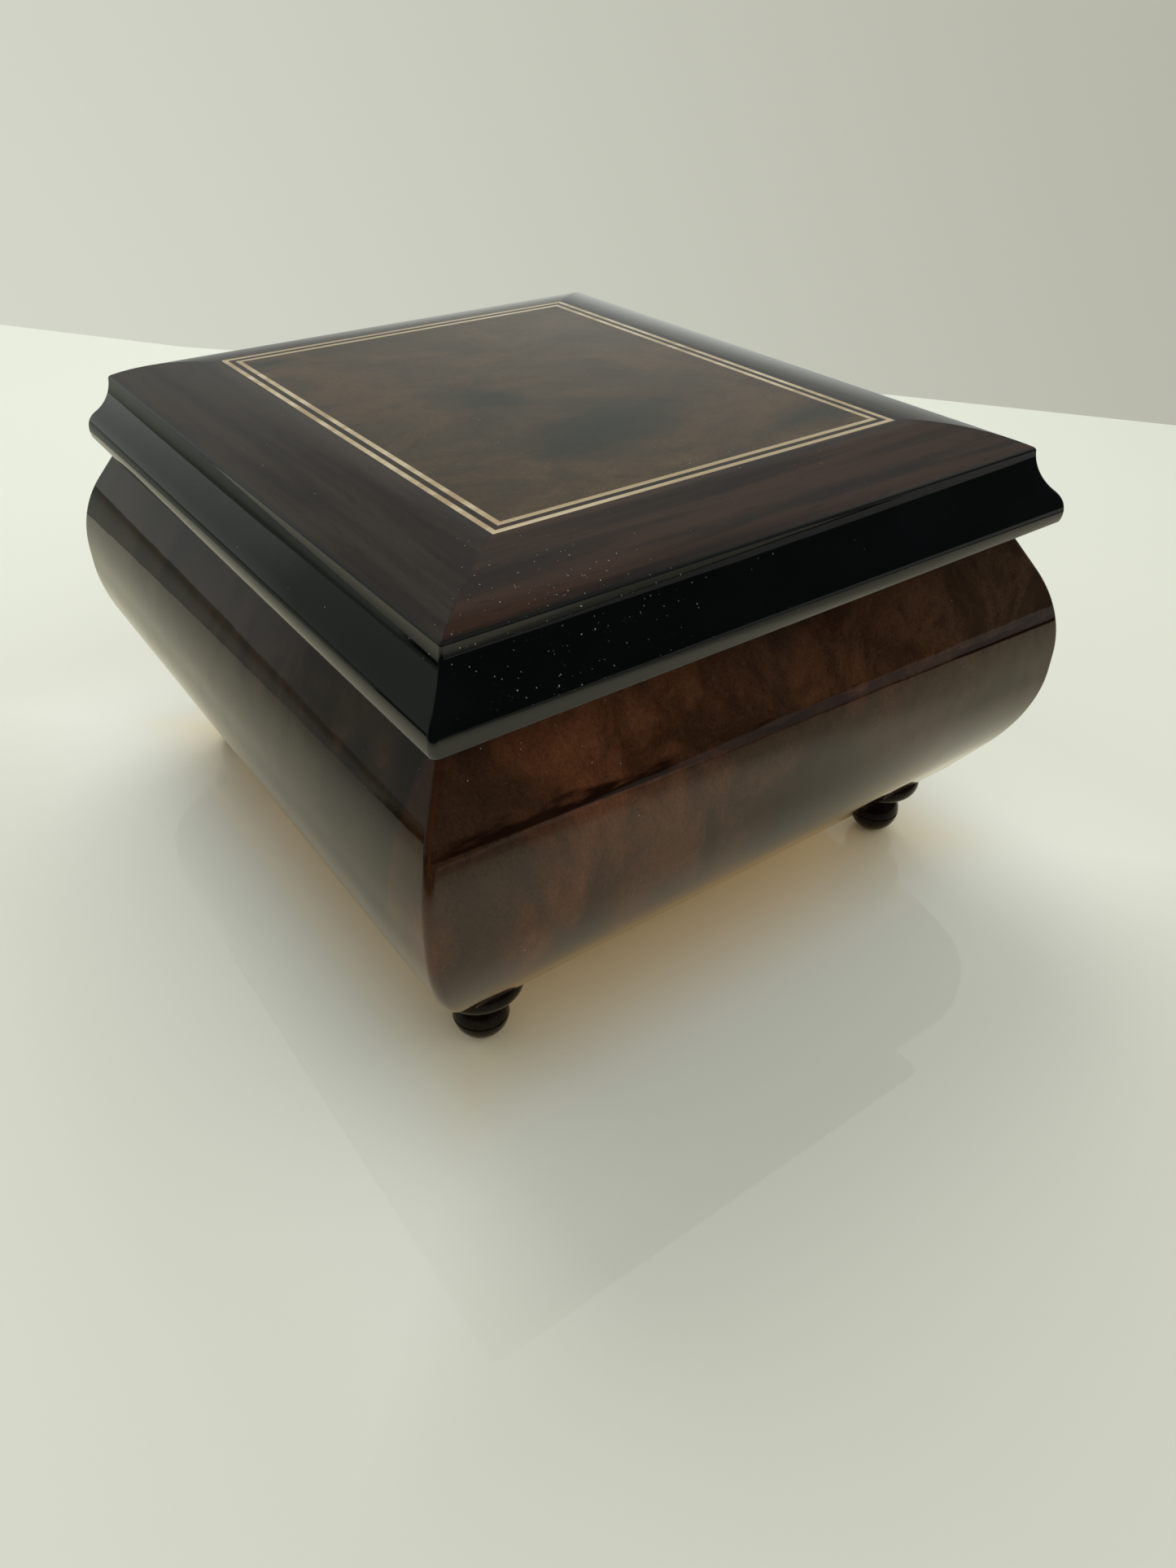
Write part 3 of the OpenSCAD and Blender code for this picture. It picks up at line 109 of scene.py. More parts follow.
def spread(tree, value, low, high, to_low=0.0, to_high=1.0):
    node = add(tree, "MapRange", dict(interpolation_type="SMOOTHSTEP"), _0=value, _1=low, _2=high,
               _3=to_low, _4=to_high)
    return node.outputs[0]


def noise(tree, vector, scale, **more):
    return add(tree, "TexNoise", Vector=vector, Scale=scale, **more).outputs["Fac"]


def along(tree, vector, direction):
    node = add(tree, "VectorMath", dict(operation="DOT_PRODUCT"), _0=vector, _1=direction)
    return node.outputs["Value"]

# %% [markdown]
# An effect that several finishes share is a node group with named inputs and outputs. It is built
# once, and each material places it with its own values. An input with no value of its own here
# gets one from every material that uses it.

# %% Helpers for shared groups
def shared_group(title, inputs, outputs):
    tree = bpy.data.node_groups.new(title, "ShaderNodeTree")
    for name, kind, value in inputs:
        socket = tree.interface.new_socket(name=name, in_out="INPUT", socket_type="NodeSocket" + kind)
        if value is not None:
            socket.default_value = value
    for name, kind in outputs:
        tree.interface.new_socket(name=name, in_out="OUTPUT", socket_type="NodeSocket" + kind)
    print("group", title, "with", len(inputs), "inputs")
    return tree, tree.nodes.new("NodeGroupInput").outputs, tree.nodes.new("NodeGroupOutput").inputs


def use_group(tree, group, **inputs):
    return add(tree, "Group", dict(node_tree=group), **inputs).outputs

# %% [markdown]
# ## Table, surroundings and light
# The box stands on a glossy white table top, in a pale room. Polished lacquer shows what
# surrounds it, so three things matter more than any lamp: the white seen in it ends 26 to 28 cm
# away, the room in front is dim, and the wall behind is pale. The table is one mesh, with a far
# edge of four corners, that runs out of sight on the near side.

# %% Table top
TABLE_EDGE = [(0.314, 0.049), (0.257, 0.133), (0.052, 0.364), (-0.007, 0.454)]
RUN_RIGHT, RUN_LEFT = (2.8, -4.1), (-2.6, 4.0)
NEAR_SIDE, LEFT_END = [(-4, -5), (4, -5)], (-4, 4.5)


def moved(point, run):
    return point[0] + run[0], point[1] + run[1]


outline = [*NEAR_SIDE, moved(TABLE_EDGE[0], RUN_RIGHT), *TABLE_EDGE, moved(TABLE_EDGE[-1], RUN_LEFT),
           LEFT_END]
flat = bpy.data.meshes.new("table_top")
flat.from_pydata([(x, y, 0.0) for x, y in outline], [], [list(range(len(outline)))])
table = bpy.data.objects.new("table_top", flat)
bpy.context.scene.collection.objects.link(table)
print("table top with", len(outline), "corners")

# %% [markdown]
# The white is painted to fall off towards the viewer and painted brighter close to the box, and it takes a
# painted warm glow that stands for light thrown back by the pale wood under the case. In the gloss of the box
# the same table is painted warmer and darker towards the back and the right, a painted reflection, so two more
# steps act on glossy rays alone.

# %% White of the table
BOX_HALF = (0.062, 0.071)
FROM_VIEWER = (0.583, 0.812, 0.0)
WHITE_NEAR, WHITE_FAR = (0.73, 0.735, 0.635, 1), (0.80, 0.82, 0.71, 1)
WHITE_PAINTED_BRIGHTER_BY_BOX, PAINTED_BOUNCE_GLOW, BLACK = (0.93, 0.945, 0.84, 1), (0.93, 0.78, 0.48, 1), (0.0, 0.0, 0.0, 1)
SEEN_NEAR, SEEN_FAR, SEEN_RIGHT = (1.12, 1.04, 0.91, 1), (0.94, 0.88, 0.76, 1), (0.70, 0.65, 0.56, 1)

gloss = bpy.data.materials.new("white_table_top")
gloss.use_nodes = True
tree = gloss.node_tree
tree.nodes.clear()
spot = add(tree, "NewGeometry").outputs["Position"]
place = add(tree, "SeparateXYZ", _0=spot).outputs
mirrored = add(tree, "LightPath").outputs["Is Glossy Ray"]
# Painted shade: the white falls off towards the viewer.
white = blend_colour(tree, spread(tree, along(tree, spot, FROM_VIEWER), -0.20, 0.22), WHITE_NEAR, WHITE_FAR)
out_x = sums(tree, "SUBTRACT", sums(tree, "ABSOLUTE", place[0]), BOX_HALF[0])
out_y = sums(tree, "SUBTRACT", sums(tree, "ABSOLUTE", place[1]), BOX_HALF[1])
out = sums(tree, "MAXIMUM", out_x, out_y)
# Painted light: the white is brighter close to the box.
white = blend_colour(tree, spread(tree, out, 0.04, 0.0, 0.0, 0.6), white, WHITE_PAINTED_BRIGHTER_BY_BOX)
# Painted glow of light bounced from the pale wood under the case.
white = blend_colour(tree, spread(tree, out, 0.004, -0.024), white, PAINTED_BOUNCE_GLOW)
# Painted shade in the reflection: glossy rays see the table darker towards the back.
shaded = sums(tree, "MULTIPLY", spread(tree, place[1], 0.02, 0.27, 0.0, 0.42), mirrored)
white = blend_colour(tree, shaded, white, BLACK)
# Painted reflection: glossy rays see the table warmer, and darker on the right.
seen_white = blend_colour(tree, spread(tree, place[1], -0.09, 0.0), SEEN_NEAR, SEEN_FAR)
seen_white = blend_colour(tree, spread(tree, place[0], 0.06, 0.12), seen_white, SEEN_RIGHT)
white = blend_colour(tree, mirrored, white, seen_white, "MULTIPLY")
top = add(tree, "BsdfPrincipled", Base_Color=white, Roughness=0.015, IOR=1.8)
print("table white with", len(tree.nodes), "nodes")

# %% [markdown]
# For glossy rays alone the white ends at two straight lines, and past them the same mesh glows as a painted
# floor of the room, an emission that only reflections see. The step is sharp and starts with a dark rim, a
# painted reflection that draws the crisp line that runs along the bulging sides. The front of the box sees the
# line on the right, and its left side sees the line at the back.

# %% Floor past the table
WHITE_ENDS, RIM_W = (0.262, 0.275), (0.030, 0.002)
SHARP, BLUR = 0.001, (0.012, 0.003)
FLOOR_DARK, FLOOR_LEFT, FLOOR_FAR = (0.006, 0.006, 0.005, 1), (0.20, 0.215, 0.18, 1), (0.11, 0.115, 0.085, 1)
FLOOR_RIGHT = (0.23, 0.22, 0.21, 1)
RIM_LEFT, RIM_RIGHT = (0.015, 0.012, 0.008, 1), (0.004, 0.003, 0.002, 1)

beyond_x, beyond_y = [spread(tree, place[k], WHITE_ENDS[k], WHITE_ENDS[k] + SHARP) for k in (0, 1)]
past_x, past_y = [spread(tree, place[k], WHITE_ENDS[k] + RIM_W[k], WHITE_ENDS[k] + RIM_W[k] + BLUR[k])
                  for k in (0, 1)]
hidden = sums(tree, "MULTIPLY", sums(tree, "MAXIMUM", beyond_x, beyond_y), mirrored)
corner_way = sums(tree, "MULTIPLY_ADD", place[0], 0.96, place[1])
left_room = blend_colour(tree, spread(tree, corner_way, -0.105, -0.072), FLOOR_DARK, FLOOR_LEFT)
left_room = blend_colour(tree, spread(tree, place[1], 0.35, 0.90), left_room, FLOOR_FAR)
left_room = blend_colour(tree, past_y, RIM_LEFT, left_room)
right_room = blend_colour(tree, past_x, RIM_RIGHT, FLOOR_RIGHT)
room_floor = blend_colour(tree, beyond_x, left_room, right_room)
# Painted reflection: past the white, glossy rays see the table glow with the colour of the room's floor.
dim = add(tree, "Emission", Color=room_floor, Strength=1.0)
both = add(tree, "MixShader", _0=hidden, _1=top.outputs[0], _2=dim.outputs[0])
add(tree, "OutputMaterial", _0=both.outputs[0])
table.data.materials.append(gloss)
print("white ends at", WHITE_ENDS)

# %% [markdown]
# The world is the rest of the room. The camera sees a pale wall that fades to the right. Matt
# surfaces see an even white, dimmer from the left, so that a colour renders about as it is
# written. Glossy rays see a dim room in front and the pale wall behind, by their direction alone:
# a ramp from front to back, a grey ceiling, a grey patch straight back and another to the left.

# %% World
TO_WALL, STRAIGHT_BACK, WALL_FADES = (0.602, 0.799, 0.0), (-0.1, 0.995, 0.0), (0.82, -0.52, 0.42)
WALL_PALE, WALL_DULL = (0.68, 0.70, 0.61, 1), (0.42, 0.42, 0.35, 1)
LEVELS = [(0.44, 0.02), (0.50, 0.07), (0.56, 0.13), (0.65, 0.17), (0.86, 0.23), (0.93, 0.33),
          (0.96, 0.40), (1.0, 0.68)]
CEILING, BACK_PATCH, LEFT_PATCH = (0.36, 0.375, 0.35, 1), (0.33, 0.345, 0.32, 1), (0.205, 0.22, 0.19, 1)
EVEN_WHITE, LEFT_DIM = (0.93, 0.94, 0.92, 1), (0.34, 0.36, 0.36, 1)

world = bpy.data.worlds.new("pale_room")
bpy.context.scene.world = world
world.use_nodes = True
tree = world.node_tree
tree.nodes.clear()
way = add(tree, "TexCoord").outputs["Generated"]
heading = add(tree, "SeparateXYZ", _0=way).outputs
seen = add(tree, "LightPath").outputs
wall = add(tree, "ValToRGB", _0=spread(tree, along(tree, way, WALL_FADES), -0.8, 0.9))
wall.color_ramp.elements[0].color = WALL_PALE
wall.color_ramp.elements[1].color = WALL_DULL
behind = along(tree, way, TO_WALL)
room = add(tree, "ValToRGB", _0=behind)
stops = room.color_ramp.elements
stops[0].position = LEVELS[0][0]
for at, _ in LEVELS[1:-1]:
    stops.new(at)
for stop, (_, level) in zip(stops, LEVELS):
    stop.color = (0.96 * level, level, 0.93 * level, 1)
ceiling = sums(tree, "MULTIPLY", spread(tree, heading[2], 0.42, 0.70), spread(tree, behind, 0.25, 0.60))
glossy = blend_colour(tree, ceiling, room.outputs[0], CEILING)
back = spread(tree, along(tree, way, STRAIGHT_BACK), 0.80, 0.91)
glossy = blend_colour(tree, back, glossy, BACK_PATCH, "LIGHTEN")
left_back = sums(tree, "MULTIPLY", spread(tree, heading[0], -0.05, -0.45), spread(tree, heading[1], 0.2, 0.6))
glossy = blend_colour(tree, left_back, glossy, LEFT_PATCH, "LIGHTEN")
matt = blend_colour(tree, spread(tree, heading[0], -0.1, -0.9), EVEN_WHITE, LEFT_DIM)
even = blend_colour(tree, seen["Is Glossy Ray"], matt, glossy)
shown = sums(tree, "MAXIMUM", seen["Is Camera Ray"], seen["Is Transmission Ray"])
colour = blend_colour(tree, shown, even, wall.outputs[0])
add(tree, "OutputWorld", _0=add(tree, "Background", Color=colour, Strength=1.0).outputs[0])
world.cycles.sampling_method = "NONE"
print("world with", len(tree.nodes), "nodes")

# %% [markdown]
# One broad, soft lamp behind the box, high up, adds to the slight fall-off towards the viewer that is painted
# into the table's white, and gives the solids a little direction. It is hidden from glossy rays: the real room
# shows no lamp in the lacquer.

# %% Lamp
soft = bpy.data.lights.new("window_light", "AREA")
soft.shape = "DISK"
soft.size = 0.9
soft.energy = 4.9
lamp = bpy.data.objects.new("window_light", soft)
lamp.location = (0.15, 0.65, 0.75)
lamp.rotation_mode = "QUATERNION"
lamp.rotation_quaternion = (-lamp.location).to_track_quat("-Z", "Y")
lamp.visible_glossy = False
bpy.context.scene.collection.objects.link(lamp)
bpy.context.scene.view_settings.view_transform = "Standard"
print("lamp", soft.energy, "W")

# %% [markdown]
# ## Shared effects
# Burl is wood whose fibres swirl round many small buds, so it shows clouds, dark smears and
# tiny eyes instead of straight grain. Noise that is bent by another noise gives such swirls. It
# is solid noise in the piece's own coordinates, so the figure runs on across neighbouring parts.
# The group's own values are those of the case.

# %% Burl figure
burl, given, made = shared_group("burl figure", [
    ("Vector", "Vector", None), ("Scale", "Float", 84.0), ("Swirl", "Float", 0.010),
    ("Light", "Color", (0.066, 0.0275, 0.0125, 1)), ("Dark", "Color", (0.026, 0.0112, 0.0052, 1)),
    ("Cloud", "Color", (0.0150, 0.0098, 0.0060, 1)), ("Clouds", "Float", 0.8)],
    [("Color", "Color"), ("Fibre", "Float")])
tree = burl


def finer(factor):
    return sums(tree, "MULTIPLY", given["Scale"], factor)


bend = add(tree, "TexNoise", Vector=given["Vector"], Scale=finer(0.45), Detail=2.0, Roughness=0.5)
bend = add(tree, "VectorMath", dict(operation="SUBTRACT"), _0=bend.outputs["Color"], _1=(0.5, 0.5, 0.5))
bend = add(tree, "VectorMath", dict(operation="SCALE"), _0=bend.outputs[0], Scale=given["Swirl"])
bent = add(tree, "VectorMath", dict(operation="ADD"), _0=given["Vector"], _1=bend.outputs[0]).outputs[0]
figure = noise(tree, bent, given["Scale"], Detail=8.0, Roughness=0.68, Distortion=0.9)
smear = noise(tree, bent, finer(0.6), Detail=2.5, Roughness=0.45, Distortion=0.5)
buds = add(tree, "TexVoronoi", dict(feature="SMOOTH_F1"), Vector=bent, Scale=finer(2.6), Smoothness=0.35)
fibre = noise(tree, bent, finer(14.0), Detail=3.0, Roughness=0.6, Distortion=2.0)
fine = noise(tree, bent, finer(42.0), Detail=3.0, Roughness=0.65)
wood = blend_colour(tree, spread(tree, figure, 0.36, 0.66), given["Dark"], given["Light"])
eye_mask = sums(tree, "MULTIPLY", spread(tree, buds.outputs["Distance"], 0.16, 0.03),
                spread(tree, smear, 0.5, 0.62, 0.0, 0.55))
wood = blend_colour(tree, eye_mask, wood, given["Dark"])
cloudy = sums(tree, "MULTIPLY", spread(tree, smear, 0.50, 0.64), given["Clouds"])
wood = blend_colour(tree, cloudy, wood, given["Cloud"])
tone = sums(tree, "MULTIPLY_ADD", fibre, 1.1, sums(tree, "MULTIPLY_ADD", fine, 1.1, -0.10))
grey = add(tree, "CombineColor", _0=tone, _1=tone, _2=tone).outputs[0]
wood = blend_colour(tree, 1.0, wood, grey, "MULTIPLY")
tree.links.new(wood, made["Color"])
tree.links.new(fibre, made["Fibre"])

# %% [markdown]
# Straight grain is the same idea stretched along one axis. The material turns the coordinates
# so that X runs along the strip before they reach the group. Its own values are bare pale wood.

# %% Straight grain
grain, given, made = shared_group("straight grain", [
    ("Vector", "Vector", None), ("Light", "Color", (0.58, 0.37, 0.17, 1)),
    ("Dark", "Color", (0.42, 0.24, 0.10, 1)), ("Fineness", "Float", 0.9)],
    [("Color", "Color"), ("Fibre", "Float")])
tree = grain
band_way = add(tree, "Mapping", _0=given["Vector"], Scale=(0.06, 1.0, 1.0)).outputs[0]
pore_way = add(tree, "Mapping", _0=given["Vector"], Scale=(0.12, 1.0, 1.0)).outputs[0]
band_scale = sums(tree, "MULTIPLY", given["Fineness"], 220.0)
pore_scale = sums(tree, "MULTIPLY", given["Fineness"], 1500.0)
bands = noise(tree, band_way, band_scale, Detail=4.0, Roughness=0.6, Distortion=0.4)
pores = noise(tree, pore_way, pore_scale, Detail=2.0, Roughness=0.5)
wood = blend_colour(tree, spread(tree, bands, 0.36, 0.66), given["Dark"], given["Light"])
wood = blend_colour(tree, spread(tree, pores, 0.55, 0.75, 0.0, 0.55), wood, given["Dark"])
tree.links.new(wood, made["Color"])
tree.links.new(pores, made["Fibre"])

# %% [markdown]
# A handled, polished box gathers specks of dust, most of them near the corner that faces the
# room. Each cell of a Voronoi pattern may hold one speck. The cell's random colour decides
# whether it is there and how large it is, and the distance from the cell's middle shapes it.

# %% Dust specks
DUSTY_CORNER, DUST_REACH = (-0.036, -0.070, 0.081), 0.028
dust, given, made = shared_group("dust specks", [
    ("Vector", "Vector", None), ("Scale", "Float", 3000.0), ("Amount", "Float", None),
    ("Near Corner", "Float", 0.55)], [("Mask", "Float")])
tree = dust
cell = add(tree, "TexVoronoi", Vector=given["Vector"], Scale=given["Scale"]).outputs
lot = add(tree, "SeparateColor", _0=cell["Color"]).outputs
far = add(tree, "VectorMath", dict(operation="DISTANCE"), _0=given["Vector"], _1=DUSTY_CORNER)
close = spread(tree, far.outputs["Value"], DUST_REACH, 0.0)
share = sums(tree, "MULTIPLY_ADD", close, given["Near Corner"], given["Amount"])
chosen = sums(tree, "LESS_THAN", lot[0], share)
size = sums(tree, "MULTIPLY_ADD", sums(tree, "POWER", lot[1], 6.0), 0.22, 0.05)
speck = sums(tree, "LESS_THAN", cell["Distance"], size)
tree.links.new(sums(tree, "MULTIPLY", chosen, speck), made["Mask"])

# %% [markdown]
# A polished surface keeps a faint ripple from the polishing wheel, and metal has fine scratches
# that run one way, with a slow stain over them.

# %% Ripple and brushing
ripple, given, made = shared_group("polish ripple", [
    ("Vector", "Vector", None), ("Scale", "Float", None)], [("Height", "Float")])
tree = ripple
tree.links.new(noise(tree, given["Vector"], given["Scale"], Detail=1.5, Roughness=0.4), made["Height"])

brushed, given, made = shared_group("brushed metal", [
    ("Vector", "Vector", None), ("Along", "Vector", None), ("Base", "Float", None),
    ("Vary", "Float", None)], [("Roughness", "Float"), ("Height", "Float"), ("Stain", "Float")])
tree = brushed
lines = add(tree, "VectorMath", dict(operation="MULTIPLY"), _0=given["Vector"], _1=given["Along"]).outputs[0]
scratch = noise(tree, lines, 1.0, Detail=3.0, Roughness=0.6)
stain = noise(tree, given["Vector"], 180.0, Detail=4.0, Roughness=0.6)
rough = sums(tree, "MULTIPLY_ADD", scratch, given["Vary"], given["Base"])
rough = sums(tree, "MULTIPLY_ADD", stain, 0.1, rough)
tree.links.new(rough, made["Roughness"])
tree.links.new(scratch, made["Height"])
tree.links.new(stain, made["Stain"])

# %% [markdown]
# ## Finishes
# A material is made by one helper that sets up a Principled shader with the piece's own
# coordinates. Plain numbers are set on the shader itself, and paint() links what varies. dusty()
# lays specks over a colour and makes them duller than the polish, and polished() adds the ripple.

# %% Material helpers
DUST_COLOUR, DUST_DULLS = (0.30, 0.31, 0.29, 1), 0.6
RIPPLE_DEPTH = 0.0004
finishes = {}


def finish(title, colour=(0.5, 0.5, 0.5, 1), rough=0.5, metal=0.0, **plain):
    material = bpy.data.materials.new(title)
    material.use_nodes = True
    tree = material.node_tree
    shader = tree.nodes["Principled BSDF"]
    shader.inputs["Base Color"].default_value = colour
    shader.inputs["Roughness"].default_value = rough
    shader.inputs["Metallic"].default_value = metal
    for name, value in plain.items():
        shader.inputs[name.replace("_", " ")].default_value = value
    here = add(tree, "TexCoord").outputs["Object"]
    finishes[title] = material
    print("finish", title)
    return tree, shader, here


def paint(tree, shader, **sockets):
    for name, value in sockets.items():
        tree.links.new(value, shader.inputs[name.replace("_", " ")])


def emboss(tree, shader, height, strength, distance):
    bump = add(tree, "Bump", Height=height, Strength=strength, Distance=distance)
    tree.links.new(bump.outputs[0], shader.inputs["Normal"])


def dusty(tree, shader, here, colour, amount):
    mask = use_group(tree, dust, Vector=here, Amount=amount)["Mask"]
    clean = shader.inputs["Roughness"].default_value
    paint(tree, shader, Base_Color=blend_colour(tree, mask, colour, DUST_COLOUR),
          Roughness=sums(tree, "MULTIPLY_ADD", mask, DUST_DULLS, clean))


def polished(tree, shader, here, scale, strength):
    emboss(tree, shader, use_group(tree, ripple, Vector=here, Scale=scale)["Height"], strength, RIPPLE_DEPTH)

# %% [markdown]
# The case is veneered in burl under thick polished lacquer. Lacquer on wood has one sharp
# reflection over a matt colour, so one shader with a low roughness is enough. The figure is
# stretched upright a little, as the leaves of veneer are laid.

# %% Burl veneer of the case
UPRIGHT_FIGURE = (1.0, 1.0, 0.55)
tree, shader, here = finish("burl_veneer", rough=0.05)
tall = add(tree, "Mapping", _0=here, Scale=UPRIGHT_FIGURE).outputs[0]
wood = use_group(tree, burl, Vector=tall)
place = add(tree, "SeparateXYZ", _0=here).outputs

# %% [markdown]
# The front is painted paler at the near corner and duller at its other end, and the left side greyer and
# darker:
# painted light and shade of each face, as the room lights them. A mask made from the coordinates picks each
# part, and a colour that multiplies the wood shifts its tone.

# %% Painted light and shade on the veneer
PAINTED_PALER, PAINTED_DULLER, PAINTED_GREYER = (1.6, 1.35, 1.2, 1), (0.70, 0.90, 1.05, 1), (0.52, 0.72, 0.90, 1)
front = spread(tree, place[1], -0.0600, -0.0620)
near_end = sums(tree, "MULTIPLY", front, spread(tree, place[0], 0.0, -0.050))
other_end = sums(tree, "MULTIPLY", front, spread(tree, place[0], 0.015, 0.050))
left = sums(tree, "MULTIPLY", spread(tree, place[0], -0.0510, -0.0530), spread(tree, front, 1.0, 0.0))
wood_colour = wood["Color"]
# Painted light and shade: each face's part is multiplied by its colour.
for part, shift in ((near_end, PAINTED_PALER), (other_end, PAINTED_DULLER), (left, PAINTED_GREYER)):
    wood_colour = blend_colour(tree, part, wood_colour, shift, "MULTIPLY")
print("veneer with three tones")

# %% [markdown]
# A painted reflection runs along the front: a dark band above the line where the bulge mirrors the edge of the
# white table. Its foot is a clean line that drops a little to the right, and a noise stretched along the strip
# frays its upper edge. At the mitred corners the veneer is sanded thin and shows red-brown; the mesh marks
# those with an attribute called edge.

# %% Painted reflection band and thin corners
REFLECTED_BAND_SLOPE, REFLECTED_BAND_FOOT, REFLECTED_BAND_TOP, REFLECTED_BAND_FRAYS = 0.035, (0.0511, 0.0514), (0.0554, 0.0540), 0.004
REFLECTED_BAND_DARK, THIN_COLOUR = (0.010, 0.0032, 0.0012, 1), (0.056, 0.016, 0.005, 1)
# Painted reflection: a dark band on the front, above the line where the bulge mirrors the edge of the table.
height = sums(tree, "MULTIPLY_ADD", place[0], REFLECTED_BAND_SLOPE, place[2])
flat_lying = add(tree, "Mapping", _0=here, Scale=(0.2, 1.0, 1.0)).outputs[0]
ragged = noise(tree, flat_lying, 900.0, Detail=3.0)
reflected_band = spread(tree, sums(tree, "MULTIPLY_ADD", ragged, REFLECTED_BAND_FRAYS, height), *REFLECTED_BAND_TOP)
reflected_band = sums(tree, "MULTIPLY", reflected_band, spread(tree, height, *REFLECTED_BAND_FOOT))
patchy = spread(tree, noise(tree, here, 55.0, Detail=2.0), 0.42, 0.54, 0.35, 1.0)
reflected_band = sums(tree, "MULTIPLY", reflected_band, sums(tree, "MULTIPLY", front, patchy))
wood_colour = blend_colour(tree, reflected_band, wood_colour, REFLECTED_BAND_DARK)
edge_mark = add(tree, "Attribute", dict(attribute_name="edge")).outputs["Fac"]
thin = sums(tree, "MULTIPLY", edge_mark, spread(tree, wood["Fibre"], 0.3, 0.6, 0.45, 1.0))
wood_colour = blend_colour(tree, thin, wood_colour, THIN_COLOUR)
dusty(tree, shader, here, wood_colour, amount=0.008)
polished(tree, shader, here, 130.0, 0.10)

# %% [markdown]
# The panel in the lid is a calmer, greener burl with long smoky swirls. The border round it is
# dark straight-grained veneer that runs along each strip, so two materials share one group and
# turn its coordinates by a quarter.

# %% Panel and border
tree, shader, here = finish("burl_panel", rough=0.05)
turned = add(tree, "Mapping", _0=here, Location=(0.031, 0.012, 0.0), Rotation=(0.0, 0.0, 0.55),
             Scale=(0.8, 1.25, 1.0)).outputs[0]
wood = use_group(tree, burl, Vector=turned, Scale=44.0, Swirl=0.034, Light=(0.068, 0.038, 0.0155, 1),
                 Dark=(0.034, 0.0215, 0.0095, 1), Cloud=(0.0095, 0.0105, 0.0055, 1), Clouds=0.95)
dusty(tree, shader, here, wood["Color"], amount=0.01)
polished(tree, shader, here, 110.0, 0.08)

for title, angle, light in (
        ("border_along_front", 0.0, (0.036, 0.0170, 0.0100, 1)),
        ("border_along_side", math.pi / 2, (0.0260, 0.0170, 0.0110, 1))):
    tree, shader, here = finish(title, rough=0.055)
    turned = add(tree, "Mapping", _0=here, Rotation=(0.0, 0.0, angle)).outputs[0]
    wood = use_group(tree, grain, Vector=turned, Light=light, Dark=(0.0095, 0.0055, 0.0040, 1), Fineness=1.3)
    dusty(tree, shader, here, wood["Color"], amount=0.012)
    polished(tree, shader, here, 110.0, 0.08)

# %% [markdown]
# Stringing is a thin strip of plain wood let into the veneer: two light lines with a dark one
# between them. It is too narrow for dust or ripple to matter, so it has grain alone.

# %% Stringing
for title, rough, light, dark, fineness in (
        ("light_string", 0.09, (0.56, 0.47, 0.31, 1), (0.36, 0.27, 0.15, 1), 0.8),
        ("dark_string", 0.07, (0.026, 0.014, 0.009, 1), (0.010, 0.006, 0.004, 1), 1.4)):
    tree, shader, here = finish(title, rough=rough)
    wood = use_group(tree, grain, Vector=here, Light=light, Dark=dark, Fineness=fineness)
    paint(tree, shader, Base_Color=wood["Color"])

# %% [markdown]
# The moulding is black polyester lacquer with a trace of green, polished like a piano, and its arris is painted
# a
# little grey: rubbed lacquer, and a painted highlight along the edge. The feet are turned wood under a thinner
# dark lacquer. The wood that is never lacquered, inside and underneath, is pale and plain.

# %% Lacquer, feet and plain wood
BLACK_DEEP, BLACK_MILKY = (0.0012, 0.0022, 0.0022, 1), (0.0020, 0.0034, 0.0033, 1)
RUBBED_AND_HIGHLIGHT = (0.05, 0.05, 0.045, 1)
tree, shader, here = finish("black_lacquer", rough=0.045, IOR=1.58)
cloudy = noise(tree, here, 70.0, Detail=3.0)
black = blend_colour(tree, spread(tree, cloudy, 0.35, 0.7), BLACK_DEEP, BLACK_MILKY)
edge_mark = add(tree, "Attribute", dict(attribute_name="edge")).outputs["Fac"]
# The arris is painted grey: rubbed lacquer and a painted highlight along the edge.
black = blend_colour(tree, sums(tree, "MULTIPLY", edge_mark, 0.25), black, RUBBED_AND_HIGHLIGHT)
dusty(tree, shader, here, black, amount=0.014)
polished(tree, shader, here, 120.0, 0.10)

tree, shader, here = finish("foot_wood", rough=0.12, IOR=1.24)
upright = add(tree, "Mapping", _0=here, Rotation=(0.0, math.pi / 2, 0.0)).outputs[0]
wood = use_group(tree, grain, Vector=upright, Light=(0.012, 0.007, 0.0045, 1), Dark=(0.005, 0.003, 0.002, 1),
                 Fineness=1.6)
paint(tree, shader, Base_Color=wood["Color"])
emboss(tree, shader, wood["Fibre"], 0.12, 0.0001)

tree, shader, here = finish("pale_wood", rough=0.48)
wood = use_group(tree, grain, Vector=here)
paint(tree, shader, Base_Color=wood["Color"])
emboss(tree, shader, wood["Fibre"], 0.25, 0.00008)

# %% [markdown]
# Velvet is a short pile that stands up and scatters light back at its rim, which the sheen of
# the Principled shader imitates. Its nap lies this way and that, so the colour drifts in soft
# patches.

# %% Velvet
VELVET_DEEP, VELVET_BRIGHT = (0.075, 0.004, 0.009, 1), (0.24, 0.012, 0.024, 1)
tree, shader, here = finish("red_velvet", rough=0.9, Sheen_Weight=0.7, Sheen_Roughness=0.35,
                            Sheen_Tint=(1.0, 0.45, 0.45, 1))
nap = noise(tree, here, 75.0, Detail=3.0, Distortion=0.6)
pile = noise(tree, here, 3800.0, Detail=2.0)
lit = sums(tree, "MULTIPLY_ADD", pile, 0.5, sums(tree, "MULTIPLY", nap, 0.45))
paint(tree, shader, Base_Color=blend_colour(tree, lit, VELVET_DEEP, VELVET_BRIGHT))
emboss(tree, shader, pile, 0.55, 0.00025)

